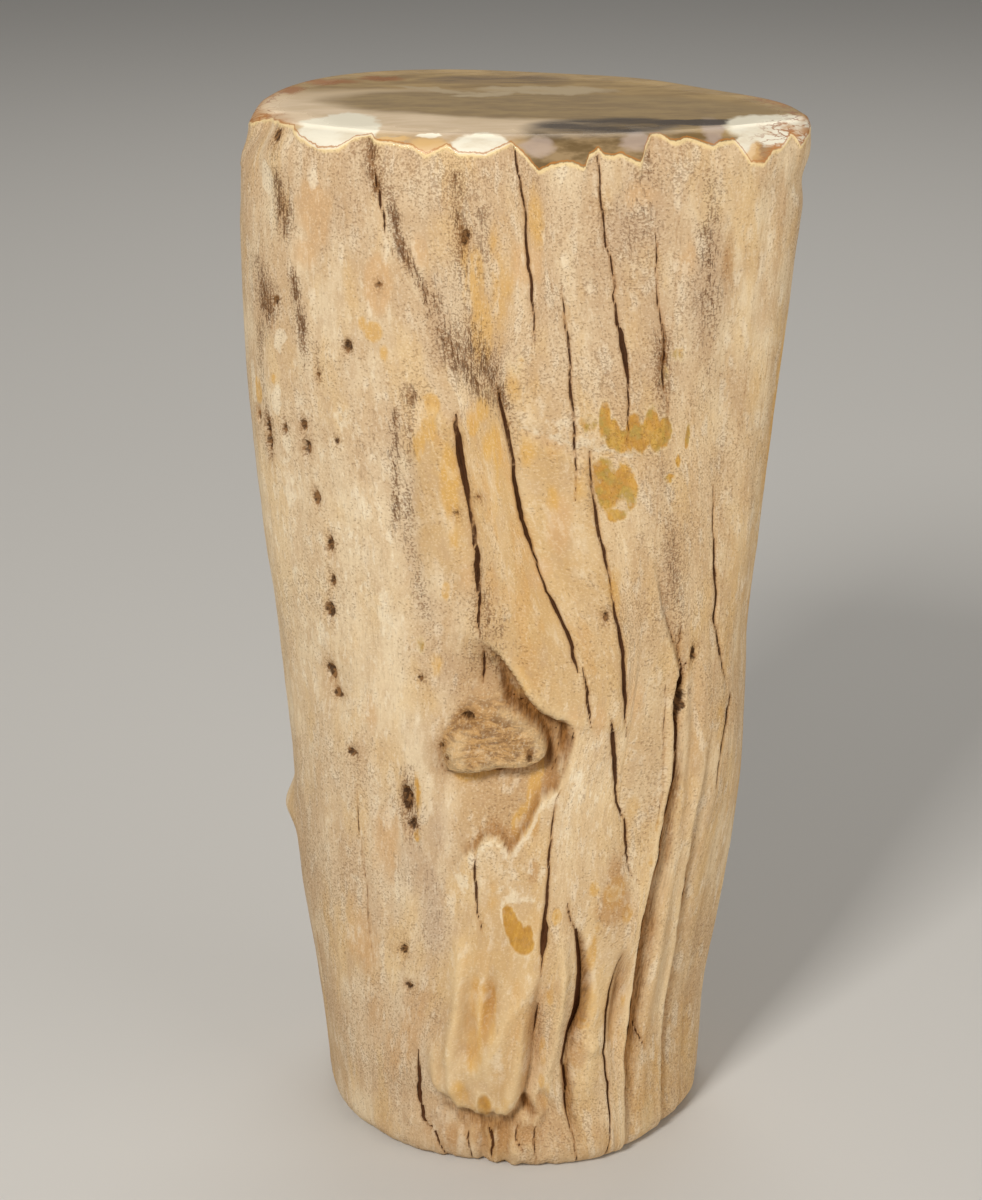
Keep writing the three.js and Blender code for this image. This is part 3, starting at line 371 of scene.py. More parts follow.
# Streaks of fine dark pores: [height, angle, half-width, strength] down each line.
STREAKS = [
    [(136, -33.4, 0.6, 0.5), (132.6, -31.5, 0.6, 0.9), (129.4, -30.3, 0.4, 0.9), (128, -29.6, 0.3, 0)],
    [(130, -28.2, 0.5, 0.3), (126.8, -26.6, 0.45, 0.9), (123.6, -25.5, 0.45, 1), (120.9, -23.3, 0.4, 1),
     (118.9, -21.2, 0.35, 0.9), (115, -19, 0.3, 0.5), (112, -17.6, 0.3, 0)],
    [(120, -20, 0.8, 0.3), (114, -17, 1, 0.7), (109, -13, 1.3, 0.9), (105, -8, 1.1, 0.8),
     (101, -5, 0.8, 0)],
    [(116, -12, 1.2, 0.3), (110, -9, 1.4, 0.8), (105, -5, 0.9, 0.9), (100, -2.6, 0.6, 0.5),
     (92, 0, 0.4, 0)],
    [(136, -64, 0.6, 0.4), (133.5, -63, 0.5, 0.4), (131, -61, 0.5, 0)],
    [(131, -60.5, 0.6, 0.3), (129.3, -59.6, 0.8, 0.9), (126, -57.5, 0.9, 0.9), (123, -56.9, 0.7, 0.7),
     (121, -57, 0.4, 0)],
    [(119.5, -69, 0.7, 0.4), (118.3, -69, 0.8, 0.7), (115.6, -66, 1.1, 0.9), (113.1, -65, 1.2, 1),
     (110, -67.5, 0.8, 0.7), (105.5, -70, 0.4, 0.4), (100, -69, 0.3, 0.4), (98, -67.5, 0.5, 0.9),
     (94.4, -67.8, 0.4, 0.7), (92, -68, 0.3, 0)],
    [(119, -54.2, 0.3, 0.4), (117.3, -53.4, 0.4, 0.9), (114.5, -52.4, 0.4, 0.9), (111.3, -51, 0.4, 0.9),
     (107.1, -50.8, 0.3, 0.5), (104, -50.6, 0.3, 0)],
    [(110.5, -46.8, 0.2, 0.5), (107, -46.4, 0.2, 0.5), (103, -46.2, 0.2, 0)],
    [(103, -26.6, 0.2, 0.5), (101, -26.8, 0.25, 0.8), (95.9, -27.1, 0.3, 0.75),
     (88.3, -27.7, 0.3, 0.65), (84, -28, 0.2, 0)],
    [(106, -23.2, 0.5, 0.4), (104.5, -23, 0.7, 0.7), (102.5, -23.4, 0.4, 0.4), (94, -24, 0.5, 0.5),
     (86, -25, 0.5, 0.6), (78, -22.5, 0.6, 0.5), (70, -19, 0.6, 0)],
    [(96, 34, 0.8, 0.2), (88, 36, 0.9, 0.3), (80, 38.8, 0.8, 0.5), (72, 42, 0.8, 0.35),
     (64, 45, 0.5, 0)],
    [(132, 38, 1, 0.3), (122, 40.5, 0.9, 0.6), (112, 42.4, 0.8, 0.45), (96, 45, 0.6, 0)],
    [(113, 29.6, 0.4, 0.2), (110, 30.3, 0.6, 0.9), (105.5, 30.6, 0.5, 0.8), (101, 31.6, 0.3, 0)],
    [(134, 24, 0.8, 0.45), (126, 23, 0.8, 0.25), (116, 24, 0.6, 0)],
    [(128, -9, 0.5, 0.5), (118, -8, 0.7, 0.4), (110, -7, 0.6, 0)],
    [(132, -14, 0.4, 0.7), (122, -12.5, 0.5, 0.6), (112, -11, 0.4, 0)],
    [(56, -28.6, 0.7, 0.4), (50, -28.4, 1, 0.8), (44, -27, 0.6, 0)],
    [(86, -9, 0.9, 0.2), (76, -8, 1.6, 0.6), (70, -7, 2, 0.6), (65, -6, 1.2, 0)],
    [(118, 126, 1, 0.4), (92, 130, 1.6, 0.8), (60, 128, 1, 0)],
    [(112, -126, 1, 0.4), (86, -128, 1.6, 0.8), (50, -126, 1, 0)],
    [(104, 176, 0.8, 0.3), (84, 178, 1.6, 0.8), (62, 177, 1.2, 0.6), (40, 176, 0.8, 0)],
    [(120, -170, 0.8, 0.4), (104, -168, 1.2, 0.7), (86, -170, 0.6, 0)],
]
# Chalky spots.
CHALK = [
    (-5, 37.4, 0.4, 2.4, 0.8), (-1, 39.2, 2.4, 0.8, 0.7), (-15, 41, 1.2, 2, 0.6),
    (-4, 42.5, 9, 5.5, 0.36), (-65.8, 128.9, 1.4, 1.9, 1.1), (-66.8, 130.4, 0.6, 1, 1),
    (-47, 130.1, 0.9, 1.6, 0.8), (-69.5, 125.4, 0.8, 1, 0.5), (-59.1, 109.8, 1.1, 1, 1.1),
    (-60.4, 108.6, 0.7, 1.4, 0.9), (-57.2, 115.4, 0.6, 0.9, 0.5), (-62.9, 101, 0.9, 1.7, 1.1),
    (-61.8, 102.4, 0.7, 0.9, 1), (-59.6, 96.1, 0.7, 1.7, 1.1), (-33.8, 126.9, 0.9, 1.6, 0.5),
    (-65.7, 122.7, 0.6, 0.8, 0.5), (-30, 122, 3, 4, 0.3), (-50, 104, 5, 9, 0.26),
    (-76.8, 102.3, 0.8, 4, 0.9), (-60, 90, 1.2, 3.4, 0.6), (-50, 79, 1, 3, 0.5), (-45, 38, 3, 6, 0.34),
    (-38, 51, 2, 4, 0.34), (-48, 22, 2.6, 5, 0.3), (-53, 71, 1.2, 2.4, 0.6), (-40, 101, 1.6, 2.4, 0.5),
    (-35, 90, 1.2, 3, 0.5), (-32, 76, 1.4, 4, 0.5), (-61, 78, 0.9, 2.6, 0.5), (8, 101.5, 3, 1.2, 0.55),
    (12, 99, 2.4, 1.1, 0.6), (18, 97.6, 2.4, 0.8, 0.6), (26, 97.4, 1.8, 0.6, 0.5),
    (9, 49, 2.4, 5, 0.36), (13, 55, 1.6, 4, 0.45), (-45, 60, 1.2, 2.6, 0.4), (-21, 18, 1.6, 3, 0.5),
    (28, 58, 1.4, 3.4, 0.4), (44, 52, 1.2, 4, 0.4), (110, 40, 2.4, 4, 0.6), (-170, 60, 2.8, 5, 0.6),
    (150, 100, 2.4, 4, 0.6), (-120, 46, 2, 4, 0.5),
]
# Smooth warm patches with few pores, then yellow, brown and faintly mauve grey ones.
PEACH = [
    (-47, 126, 3, 5, 0.8), (-50, 121, 2.2, 3, 0.7), (-30.3, 118, 1.8, 4.4, 0.9),
    (-21.5, 122, 1.6, 3, 0.6), (22.6, 129, 2.6, 2.4, 0.6), (35, 121, 2, 4.4, 0.5), (8, 89, 2.6, 5, 0.7),
    (4.5, 83, 2, 3, 0.6), (19, 62.5, 1.4, 3, 0.6), (30, 64.5, 1.8, 4.4, 0.5), (-12, 82, 1.4, 6, 0.5),
    (0, 121, 2.4, 4, 0.7), (-36, 44, 4, 8, 0.5), (-44, 30, 4, 8, 0.5), (-36, 18, 8, 12, 0.4),
    (-38, 62, 2.6, 4, 0.4), (12, 62, 1.6, 4, 0.4), (140, 60, 4, 8, 0.6), (-130, 90, 5, 9, 0.6),
]
YELLOW = [
    (24.9, 38.6, 2, 2.4, 0.9), (29.6, 35.4, 0.9, 1.4, 0.9), (19, 39.8, 0.9, 1.4, 0.8),
    (8.9, 36.6, 0.7, 1.2, 1), (19, 30.9, 0.8, 3.2, 1), (18.7, 24.1, 0.9, 1.6, 1),
    (7.6, 25.5, 0.6, 1.8, 0.8), (6, 18, 0.6, 2.6, 0.9), (5.6, 13.6, 0.6, 1.6, 0.8),
    (31, 23, 0.4, 1.4, 0.7), (17.6, 21, 1, 0.8, 1), (0.6, 98, 1.6, 3, 0.6), (-6, 92, 1, 6, 0.5),
    (6.4, 92, 1.4, 3, 0.6), (-12, 120, 0.7, 6, 0.6), (2, 126, 1.4, 5, 0.5),
    (-19.2, 103.6, 1.4, 1.6, 1.3), (-20.8, 102.8, 1, 2, 1.2), (-21.6, 99.4, 0.9, 3.4, 1.1),
    (-19, 100.6, 0.8, 2, 0.9), (-8.4, 103.4, 1, 2, 0.9), (-10.4, 101.4, 0.8, 1.6, 1.1),
    (-7.4, 98.6, 0.8, 2.6, 0.7), (-31.4, 112.2, 1.4, 1.4, 1.1), (-34, 113, 0.8, 1.2, 0.8),
    (-29, 109.6, 0.8, 1.4, 0.7), (-72.6, 101.6, 0.9, 1.8, 1.3), (-63, 104, 0.6, 0.8, 0.8),
    (-17, 80, 0.8, 1.6, 0.9), (4.6, 56.4, 0.6, 2, 0.9), (3.4, 53.6, 0.7, 2.2, 1),
    (0.2, 49.6, 0.9, 1.8, 1), (-10, 55.8, 2.6, 0.8, 1), (-4.6, 119, 3, 10, 0.46),
    (3, 108, 3.4, 6, 0.42), (10, 116, 2.6, 9, 0.36), (46, 9, 14, 12, 0.42), (30, 16, 10, 12, 0.36),
    (-13, 55.4, 2.6, 1.1, 0.9), (2.4, 52, 0.9, 4, 1), (-1, 48.6, 1.2, 2, 0.9), (-8, 24.5, 0.8, 3, 1),
    (-9.5, 119, 1.2, 5, 0.9), (-8.4, 113, 1.5, 5.5, 0.9), (-6.5, 124, 1, 3, 0.6),
    (-15.4, 93.5, 1.5, 6, 0.9), (-14.6, 88, 1.4, 5, 0.6), (-5.6, 99, 1, 4, 0.6), (12, 93, 1.8, 3, 0.6),
    (8, 78, 2.2, 5, 0.4), (-1.5, 68, 1.4, 3, 0.8), (-2.6, 106, 1.6, 4, 0.7), (75, 100, 2, 16, 0.7),
    (80, 120, 2, 8, 0.5), (30, 50, 1.6, 3, 0.5), (22, 80, 1.6, 6, 0.5), (-26, 52, 0.8, 4, 0.7),
    (-20, 70, 1, 2, 0.5), (-11.5, 25, 1.6, 4, 0.9), (-9.4, 21.5, 1.4, 2.6, 1.1),
    (-12.4, 17.8, 1.3, 3.4, 1), (-17, 12, 1.6, 3, 0.6), (-4, 11, 1.2, 1.6, 0.5), (7, 12, 1, 4, 0.5),
    (14, 10, 1, 4, 0.5), (20, 24, 1.2, 4, 0.6), (-8, 40, 1.6, 4, 0.4), (60, 60, 1.6, 12, 0.4),
    (150, 96, 3, 7, 0.7), (-150, 40, 3, 8, 0.7),
]
BROWN = [
    (9, 84, 6, 11, 0.34), (44, 12, 18, 14, 0.4), (-34, 20, 9, 16, 0.34), (26, 37, 4, 5, 0.5),
    (24, 37, 2.4, 3.4, 1), (18.4, 27, 0.9, 4, 0.8), (17.8, 21.6, 1.1, 0.9, 1), (9.6, 26, 0.7, 3, 0.8),
    (-22.9, 104.5, 0.9, 1.4, 0.9), (2.8, 51, 0.7, 4, 0.7), (-13, 56.4, 2.4, 0.7, 0.7),
    (-5, 47.8, 2.4, 1, 0.8), (-1.6, 47.4, 1, 1.4, 0.9), (-64, 112, 1.6, 4, 0.7),
    (-58, 126, 1.2, 3, 0.7), (43, 127, 1.4, 3.6, 0.5), (46, 121, 1.3, 6, 0.7),
    (24.5, 41, 2.6, 4.6, 0.7), (28, 37, 2, 3.6, 0.7), (20, 44, 1.6, 3, 0.5), (2.6, 43, 0.9, 2.2, 0.6),
    (-29, 73, 1, 2, 0.4), (-46, 69.5, 1.6, 2.4, 0.6), (-50, 65, 1.6, 3, 0.5), (8, 20, 0.8, 4, 0.6),
    (7.6, 26, 0.8, 2, 0.6), (19, 31, 0.9, 4, 0.5), (16.5, 18.5, 1, 1.4, 0.8), (15, 12, 0.8, 4, 0.5),
    (33, 24, 1, 6, 0.5), (-16, 4, 8, 3.4, 0.6), (-8, 25, 0.6, 3, 0.9), (-9.6, 20.6, 0.6, 2.6, 0.9),
    (-7, 4.4, 3.4, 3, 0.9), (2, 5.4, 4, 3, 0.8), (5, 10, 1.2, 2.6, 0.8), (17, 16.5, 1.4, 2.6, 0.9),
    (11, 5, 1.6, 3, 0.5), (40, 47, 1.2, 7, 0.5), (39, 32, 1, 7, 0.5), (52, 84, 1, 10, 0.4),
    (120, 100, 3, 9, 0.6), (-100, 70, 3, 9, 0.5),
]
GREY = [
    (-29, 42, 3.6, 6, 0.7), (-39, 31, 2.6, 6, 0.5), (-28, 61, 2.6, 5, 0.5), (-50, 54, 3, 5, 0.4),
    (-23, 36, 2.6, 9, 0.9), (-20, 48, 2.6, 5, 0.6), (-16, 68, 3.4, 5, 0.6), (4, 21, 1, 5, 1),
    (30, 92, 2.6, 10, 0.8), (36, 80, 2.2, 10, 0.7), (2, 108, 4, 5, 0.6), (-16, 118, 4, 8, 0.6),
    (22, 126, 5, 8, 0.8), (38, 118, 6, 12, 0.7), (28, 112, 6, 10, 0.5), (-30, 96, 4, 10, 0.5),
    (-44, 74, 4, 10, 0.4), (-20, 6, 6, 4, 0.5), (8, 118, 3, 8, 0.4), (52, 100, 4, 16, 0.4),
    (-40, 126, 4, 4, 0.4), (140, 70, 8, 20, 0.6), (-150, 80, 8, 24, 0.5), (100, 90, 6, 20, 0.4),
]

# How far the zones of the polished top lean towards the front, per millimetre down, and how much
# flatter than wide the fine shaking of their edges is.
LEAN = 2.53
FINE_DEPTH = 0.6

# Camera: where it stands in millimetres, how many degrees it looks down, its lens and sensor.
CAMERA_PLACE = (-3.9, -339.8, 205.0)
CAMERA_DOWN = 21.54
CAMERA_LENS = 82.68
SENSOR = 36.0

# The noise's random numbers: an order to scramble whole-number points by, and a level for each.
LATTICE_SIZE = 256
LATTICE = np.random.default_rng(11)
SCRAMBLE = LATTICE.permutation(LATTICE_SIZE)
LEVELS = LATTICE.random(LATTICE_SIZE)


def smooth(low, high, x):
    """0 up to low and 1 from high on, with an S curve between. With low the larger, it falls."""
    t = np.clip((x - low) / (high - low), 0, 1)
    return t * t * (3 - 2 * t)


def bell(t):
    """exp(-t^2)."""
    return np.exp(-t * t)


def turn(start, end):
    """Smallest turn from one angle to another, in degrees."""
    return (end - start + 180) % 360 - 180


def noise(x, y=0.0, z=0.0):
    """Smooth noise from 0 to 1: random heights at whole-number points, joined by S curves."""
    x, y, z = np.broadcast_arrays(*(np.asarray(c, float) for c in (x, y, z)))
    whole = [np.floor(c).astype(int) for c in (x, y, z)]
    rest = [smooth(0, 1, c - w) for c, w in zip((x, y, z), whole)]
    total = np.zeros(x.shape)
    for corner in itertools.product((0, 1), repeat=3):
        i, j, k = (w + c for w, c in zip(whole, corner))
        index = SCRAMBLE[i % LATTICE_SIZE]
        index = SCRAMBLE[(index + j) % LATTICE_SIZE]
        index = SCRAMBLE[(index + k) % LATTICE_SIZE]
        share = np.prod([r if c else 1 - r for r, c in zip(rest, corner)], axis=0)
        total += share * LEVELS[index]
    return total


def layers(x, y=0.0, z=0.0, octaves=3):
    """Noise at 1, 1/2, 1/4... of its pitch and strength, added up, from -1 to 1."""
    total = sum(noise(x * 2**n + 17 * n, y * 2**n, z * 2**n) / 2**n for n in range(octaves))
    return total / (1 - 0.5**octaves) - 1


def stations(values, height):
    """A smooth curve (Catmull-Rom) through values that stand STATION_STEP apart in height."""
    values = np.asarray(values, float)
    place = np.clip(height / STATION_STEP, 0, len(values) - 1)
    i = np.minimum(np.floor(place).astype(int), len(values) - 2)
    t = place - i
    before, start = values[np.maximum(i - 1, 0)], values[i]
    end, after = values[i + 1], values[np.minimum(i + 2, len(values) - 1)]
    bend = 2 * before - 5 * start + 4 * end - after
    twist = 3 * (start - end) + after - before
    return start + 0.5 * t * (end - before + t * (bend + t * twist))


def read(table, key, column=1):
    """Straight-line reading of a table of rows, first column against another."""
    rows = np.asarray(sorted(table), float)
    return np.interp(key, rows[:, 0], rows[:, column])


def spread_rows(bands):
    """Levels from bands of (start, rows), each band evenly split, with the last start added."""
    parts = [np.linspace(a, b, n, endpoint=False) for (a, n), (b, _) in zip(bands, bands[1:])]
    return np.concatenate([*parts, [bands[-1][0]]])


def column_angles(levels):
    """Angles of the columns at each level: shares of the way from one grain line to the next."""
    lines = np.stack([stations(line, levels) for line in GRAIN], axis=1)
    gap = np.repeat(np.arange(len(COLUMNS_BETWEEN)), COLUMNS_BETWEEN)
    share = np.concatenate([np.arange(n) / n for n in COLUMNS_BETWEEN])
    return lines[:, gap] * (1 - share) + lines[:, gap + 1] * share


def semi_axes(angle, height):
    """Half-width and half-depth of the oval at an angle and height."""
    turned = np.radians(angle)
    across = np.where(np.sin(turned) >= 0, stations(RIGHT, height), stations(LEFT, height))
    deep = np.where(np.cos(turned) >= 0, stations(FRONT, height), stations(BACK, height))
    return across, deep


def per_degree(angle, height):
    """Millimetres along the outline for one degree."""
    across, deep = semi_axes(angle, height)
    turned = np.radians(angle)
    return np.radians(np.hypot(across * np.cos(turned), deep * np.sin(turned)))


def lobes(angle, height):
    """The outline's departures from its ovals: a bell round each lobe's angle."""
    up = height / HEIGHT
    return sum((base + (top - base) * up) * bell(turn(at, angle) / spread)
               for at, spread, top, base in LOBES)


def place(angle, height, out):
    """A point of the oval at (angle, height), pushed out along its normal."""
    across, deep = semi_axes(angle, height)
    turned = np.radians(angle)
    normal = np.stack([np.sin(turned) / across, -np.cos(turned) / deep])
    normal = normal / np.linalg.norm(normal, axis=0)
    x = across * np.sin(turned) + normal[0] * out
    y = AXIS_Y - deep * np.cos(turned) + normal[1] * out
    return np.stack([x, y, height + 0 * x], axis=-1)


def rounding(distance, reach):
    """A quarter round: 1 at no distance, 0 from its reach on."""
    left = np.clip(1 - distance / reach, 0, 1)
    return 1 - np.sqrt(1 - left * left)


def base_edge(height):
    """The worn edge of the base, a quarter ellipse."""
    return -BASE_INSET * rounding(height, BASE_EDGE)


def shoulder(angle):
    """1 at the worn shoulder left of the top, fading to either side."""
    return bell(turn(SHOULDER_ANGLE, angle) / SHOULDER_SPREAD)


def ground_edge(angle, drop):
    """The rounded ground edge of the top: a quarter ellipse, widest in front and at the shoulder."""
    front = smooth(0.1, 0.6, np.cos(np.radians(angle)))
    inset = ROUND_INSET + FRONT_INSET * front + SHOULDER_INSET * shoulder(angle)
    return -inset * rounding(drop, ROUND_DROP)


def rim_drop(angle):
    """How far below the top the ground edge meets the weathered side: scallops with small jags."""
    arc = np.radians(angle) * MEAN_WIDTH
    small = 0.22 * layers(arc / 1.3, 3.1, octaves=3)
    return np.maximum(read(RIM, angle) + small, RIM_LEAST)


class Side:
    """The weathered side on a grid of angles and heights: its relief in millimetres and its tones.

    Each method adds one natural feature. A field is an array over the whole grid. Most tones run
    from 0 to 1. The marks "gap" and "hole" are instead millimetres inside a crack's or pit's edge,
    and below 0 outside it, so that the material draws the edge finer than the mesh. The "gap" mark
    also draws the painted shadow line under the knot's foot.
    """

    def __init__(self, angle, height):
        self.angle = angle
        self.height = height
        self.scale = per_degree(angle, height)
        self.around = np.radians(angle) * MEAN_WIDTH
        self.out = np.zeros(angle.shape)
        self.front = np.abs(angle) < FRONT_REACH
        self.tones = {}

    def tone(self, name, field):
        """Keeps the stronger of a tone's old and new fields."""
        self.tones[name] = np.clip(np.maximum(self.tones.get(name, 0), field), 0, 1)

    def mark(self, name, inside):
        """Keeps the greater of the distances inside an edge, within a millimetre either way."""
        self.tones[name] = np.clip(np.maximum(self.tones.get(name, -1), inside), -1, 1)

    def across(self, line_angle):
        """Millimetres to the right of a line."""
        return turn(line_angle, self.angle) * self.scale

    def off_line(self, line):
        """Millimetres to the right of a line, square to it."""
        slope = (read(line, self.height + 0.4) - read(line, self.height - 0.4)) / 0.8 * self.scale
        return self.across(read(line, self.height)) / np.hypot(1, slope)

    def oval(self, at, height, wide, tall):
        """Distance from an oval's middle, 1 at its edge."""
        return np.hypot(self.across(at) / wide, (self.height - height) / tall)

    def jags(self, pitch, tall, seed, octaves):
        """Noise on the unrolled side, in lumps of a width and a height in millimetres."""
        return layers(self.around / pitch, self.height / tall, seed, octaves)

    def wander(self, seed, pitch, amount):
        """A sideways wandering along the height, in millimetres."""
        return amount * layers(self.height / pitch, seed * 3.7, 0.5, octaves=2)

    def on_line(self, line):
        """1 on the heights that a line spans."""
        return (self.height <= line[0][0]) & (self.height >= line[-1][0])

    def swellings(self):
        """Long low swellings: two waves round the limb that turn with height, then noise."""
        turned = np.radians(self.angle)
        self.out += 0.24 * np.sin(5 * turned + self.height / 31)
        self.out += 0.09 * np.sin(11 * turned - self.height / 17 + 1.3)
        x, y = MEAN_WIDTH * np.sin(turned), MEAN_DEPTH * np.cos(turned)
        self.out += 0.18 * layers(x / 5, y / 5, self.height / 16, octaves=2)

    def fibres(self, grain):
        """Fine ridges along the grain: noise on the grain's own coordinates, long in height."""
        x, y, z = (grain[..., i] for i in range(3))
        ridges = layers(x / 1.3, y / 1.3, z / 22, octaves=2)
        rough = layers(x / 1.1, y / 1.1, z / 2.6, octaves=2)
        calm = 1 - 0.5 * self.tones.get("slab", 0)
        right_foot = smooth(28, 36, self.angle) * smooth(80, 60, self.angle)
        pleated = 1 + 0.5 * right_foot * smooth(80, 40, self.height)
        self.out += calm * pleated * 0.08 * ridges + calm * 0.05 * rough

    def cracks(self):
        """V grooves down their lines: 0.55 depth times (1 - |distance| / reach).

        The reach is a little more than the half-width, which is where the dark of the crack ends.
        Each line jogs sideways now and then, by soft steps of noise. Thin cracks pinch at the jogs
        and here and there between them; wide ones keep their width.
        """
        for i, line in enumerate(CRACKS):
            here = self.on_line(line)
            steps = 2.4 * noise(self.height / 4.6, i * 2.9)
            part = steps - np.floor(steps)
            jog = 0.26 * (np.floor(steps) + smooth(0.36, 0.64, part)) - 0.3
            ragged = self.wander(i, 7, 0.25) + self.wander(i + 40, 1.7, 0.2) + jog
            off = np.abs(self.off_line(line) - ragged)
            width = read(line, self.height, 2)
            wide = smooth(0.2, 0.36, width)
            pinch = 0.78 + 0.44 * noise(self.height / 1.9, i * 5.3)
            pinch = pinch * (1 - 0.25 * bell((part - 0.5) / 0.12))
            width = width * (pinch * (1 - wide) + (0.86 + 0.2 * pinch) * wide)
            depth = here * read(line, self.height, 3)
            self.out -= 0.55 * depth * np.clip(1 - off / (1.3 * width + 0.12), 0, 1)
            self.mark("gap", np.where(here, width - off, -1) - 0.04)
            # Grime and painted shade along each crack.
            strong = np.clip(depth / 0.8, 0, 1)
            self.tone("grime_and_shade", 0.4 * strong * bell(off / (1.3 * width + 0.2)))

    def valleys(self):
        """Soft valleys and ribs: a bell across each line, times its depth."""
        for i, line in enumerate(VALLEYS + RECESSES):
            dark = 1.0 if i >= len(VALLEYS) else 0.0
            here = self.on_line(line)
            off = self.off_line(line) - self.wander(i + 90, 3.5, 0.25)
            depth = here * read(line, self.height, 3)
            shape = bell(off / np.maximum(read(line, self.height, 2), 0.1))
            self.out -= depth * shape
            # Painted shade in the recesses, grime and painted shade in every valley, a painted
            # highlight on the ribs.
            self.tone("shade", dark * depth * shape)
            self.tone("grime_and_shade", 0.45 * depth * shape)
            self.tone("painted_highlight", -0.8 * depth * shape)

    def folds(self):
        """Ledges: the side swells up to the line, steps down across it and climbs back out.

        The swell and the climb are bells of the distance. A dark seam runs under the step. The floor
        past the step gets painted shade, and the high side at its edge a painted highlight.
        """
        for i, (side, line) in enumerate(FOLDS):
            here = self.on_line(line)
            ragged = self.wander(i + 20, 8, 0.4) + self.wander(i + 60, 2.2, 0.25)
            off = side * (self.off_line(line) - ragged)
            width = read(line, self.height, 2)
            drop = here * read(line, self.height, 3)
            low_side = smooth(-0.2, 0.4, off)
            fall = bell(off / np.where(off > 0, width, 0.6 * width))
            self.out += drop * fall * (0.28 - low_side)
            deep = np.clip(drop / 1.5, 0, 1)
            hatch = 0.45 + 1.1 * noise(self.around / 0.8, self.height / 3.2, i * 4.1)
            floor = smooth(0.0, 0.5, off) * smooth(1.35 * width, 0.45 * width, off)
            self.tone("shade", hatch * deep * deep * floor)
            self.tone("painted_highlight", 0.9 * deep * (1 - low_side) * bell(off / 0.8))
            seam = off - 0.25 - 0.45 * drop + 0.3 * (noise(self.height / 2.6, i * 1.7) - 0.5)
            thin = 0.10 + 0.07 * smooth(40, 52, self.height)
            self.mark("gap", thin * smooth(0.3, 0.6, deep) * hatch - np.abs(seam) - 0.05)

    def bumps(self):
        """Bells over an oval."""
        for at, height, wide, tall, out in BUMPS:
            self.out += out * bell(self.oval(at, height, wide, tall))

    def pits(self):
        """Rough-edged holes: the oval distance is shaken by noise."""
        for i, (at, height, wide, tall, depth) in enumerate(PITS):
            wide, tall = 1.15 * wide + 0.1, 1.1 * tall + 0.1
            reach = self.oval(at, height, wide, tall) + 0.45 * self.jags(0.9, 0.9, i * 2.3, 2)
            self.out -= depth * (1 - smooth(0.5, 1.2, reach))
            self.mark("hole", (0.95 - reach) * min(wide, tall))
            # Grime and painted shade round each pit.
            self.tone("grime_and_shade", 0.6 * bell(reach / 1.7))

    def hollow(self):
        """The hollow under the slab: it fades out to the left and is shallower low down.

        Its upper edges are shaded, its right edge and foot brown, and below the foot it is chalky.
        """
        jag = layers(self.around / 1.6, 4.4, octaves=2)
        fine_jag = layers(self.around / 1.1, 8.4, octaves=3)
        below = read(HOLLOW_TOP, self.angle) + 0.3 * jag - self.height
        above = self.height - read(HOLLOW_FOOT, self.angle) - 0.5 * fine_jag
        within = self.wander(71, 2, 0.4) - self.across(read(HOLLOW_RIGHT, self.height))
        fade = smooth(*HOLLOW_FADE, self.angle) * smooth(76, 68, self.height)
        field = smooth(-0.2, 0.7, below) * smooth(-0.15, 0.5, above) * smooth(-0.2, 0.8, within)
        self.in_hollow = self.front * fade * field
        shallow = 0.42 + 0.58 * smooth(46, 60, self.height)
        self.out -= HOLLOW_DEPTH * shallow * self.in_hollow
        edge = np.minimum(below, within)
        hatch = 0.55 + 0.9 * noise(self.around / 0.7, self.height / 4, 3.9)
        upper = smooth(52, 60, self.height)
        self.tone("shade", hatch * self.in_hollow * bell(edge / 1.7) * upper)
        self.tone("hollow", self.in_hollow)
        foot = self.front * smooth(-19, -12, self.angle) * (within > 0)
        self.tone("shade", 0.5 * hatch * foot * smooth(-0.05, 0.25, above) * bell(above / 1.2))
        self.tone("brown", 0.7 * hatch * foot * smooth(0, 0.5, above) * bell((above - 1.0) / 1.4))
        self.tone("brown", 0.7 * hatch * self.in_hollow * bell((within - 1.2) / 1.2))
        self.tone("chalk", 0.7 * foot * bell((above + 0.8) / 0.9) * (above < 0))

    def knot(self):
        """The knot: a dome over an egg-like outline, sharp at its foot, easing into the limb above.

        The dome rises from its edge by an S curve as wide as the outline's softness there. A thin
        painted shadow line runs under its foot, with painted shade below it, and a shaded groove
        down its right.
        """
        aside = self.across(KNOT_MIDDLE[0])
        up = self.height - KNOT_MIDDLE[1]
        way = np.degrees(np.arctan2(up, aside)) % 360
        jag = 0.3 * self.jags(1.3, 1.3, 6.1, 2)
        inside = read(KNOT_EDGE, way) + jag - np.hypot(aside, up)
        soft = read(KNOT_EDGE, way, 2)
        body = self.front * smooth(-0.1 * soft, 1.1 * soft, inside) * (1 - 0.7 * smooth(-1, 6, up))
        burl = self.jags(2.6, 0.8, 2.2, 3)
        ripple = self.jags(1.2, 1.1, 5.2, 2)
        bark = smooth(0.2, 1.4, inside) * smooth(6.5, 3.5, up)
        self.tone("knot", self.front * smooth(-0.1, 0.5, inside) * smooth(7.5, 3.0, up))
        self.out += body * KNOT_OUT + self.front * bark * (0.32 * burl + 0.28 * ripple)
        foot = self.front * bell(turn(268, way) / 62)
        right = self.front * bell(turn(10, way) / 62)
        thick = 0.3 * (0.6 + 0.8 * noise(self.around / 1.3, 2.0))
        # A painted shadow line under the foot, drawn with the crack mark, and painted shade below it.
        self.mark("gap", np.where(foot > 0.1, thick * foot - np.abs(inside + 0.15), -1) - 0.06)
        self.tone("shade", 0.7 * foot * (inside < 0) * bell((inside + 0.3) / 0.9))
        self.tone("shade", 0.75 * right * bell((inside + 0.5) / 0.8))
        self.out -= 0.5 * right * bell((inside + 0.6) / 0.6)

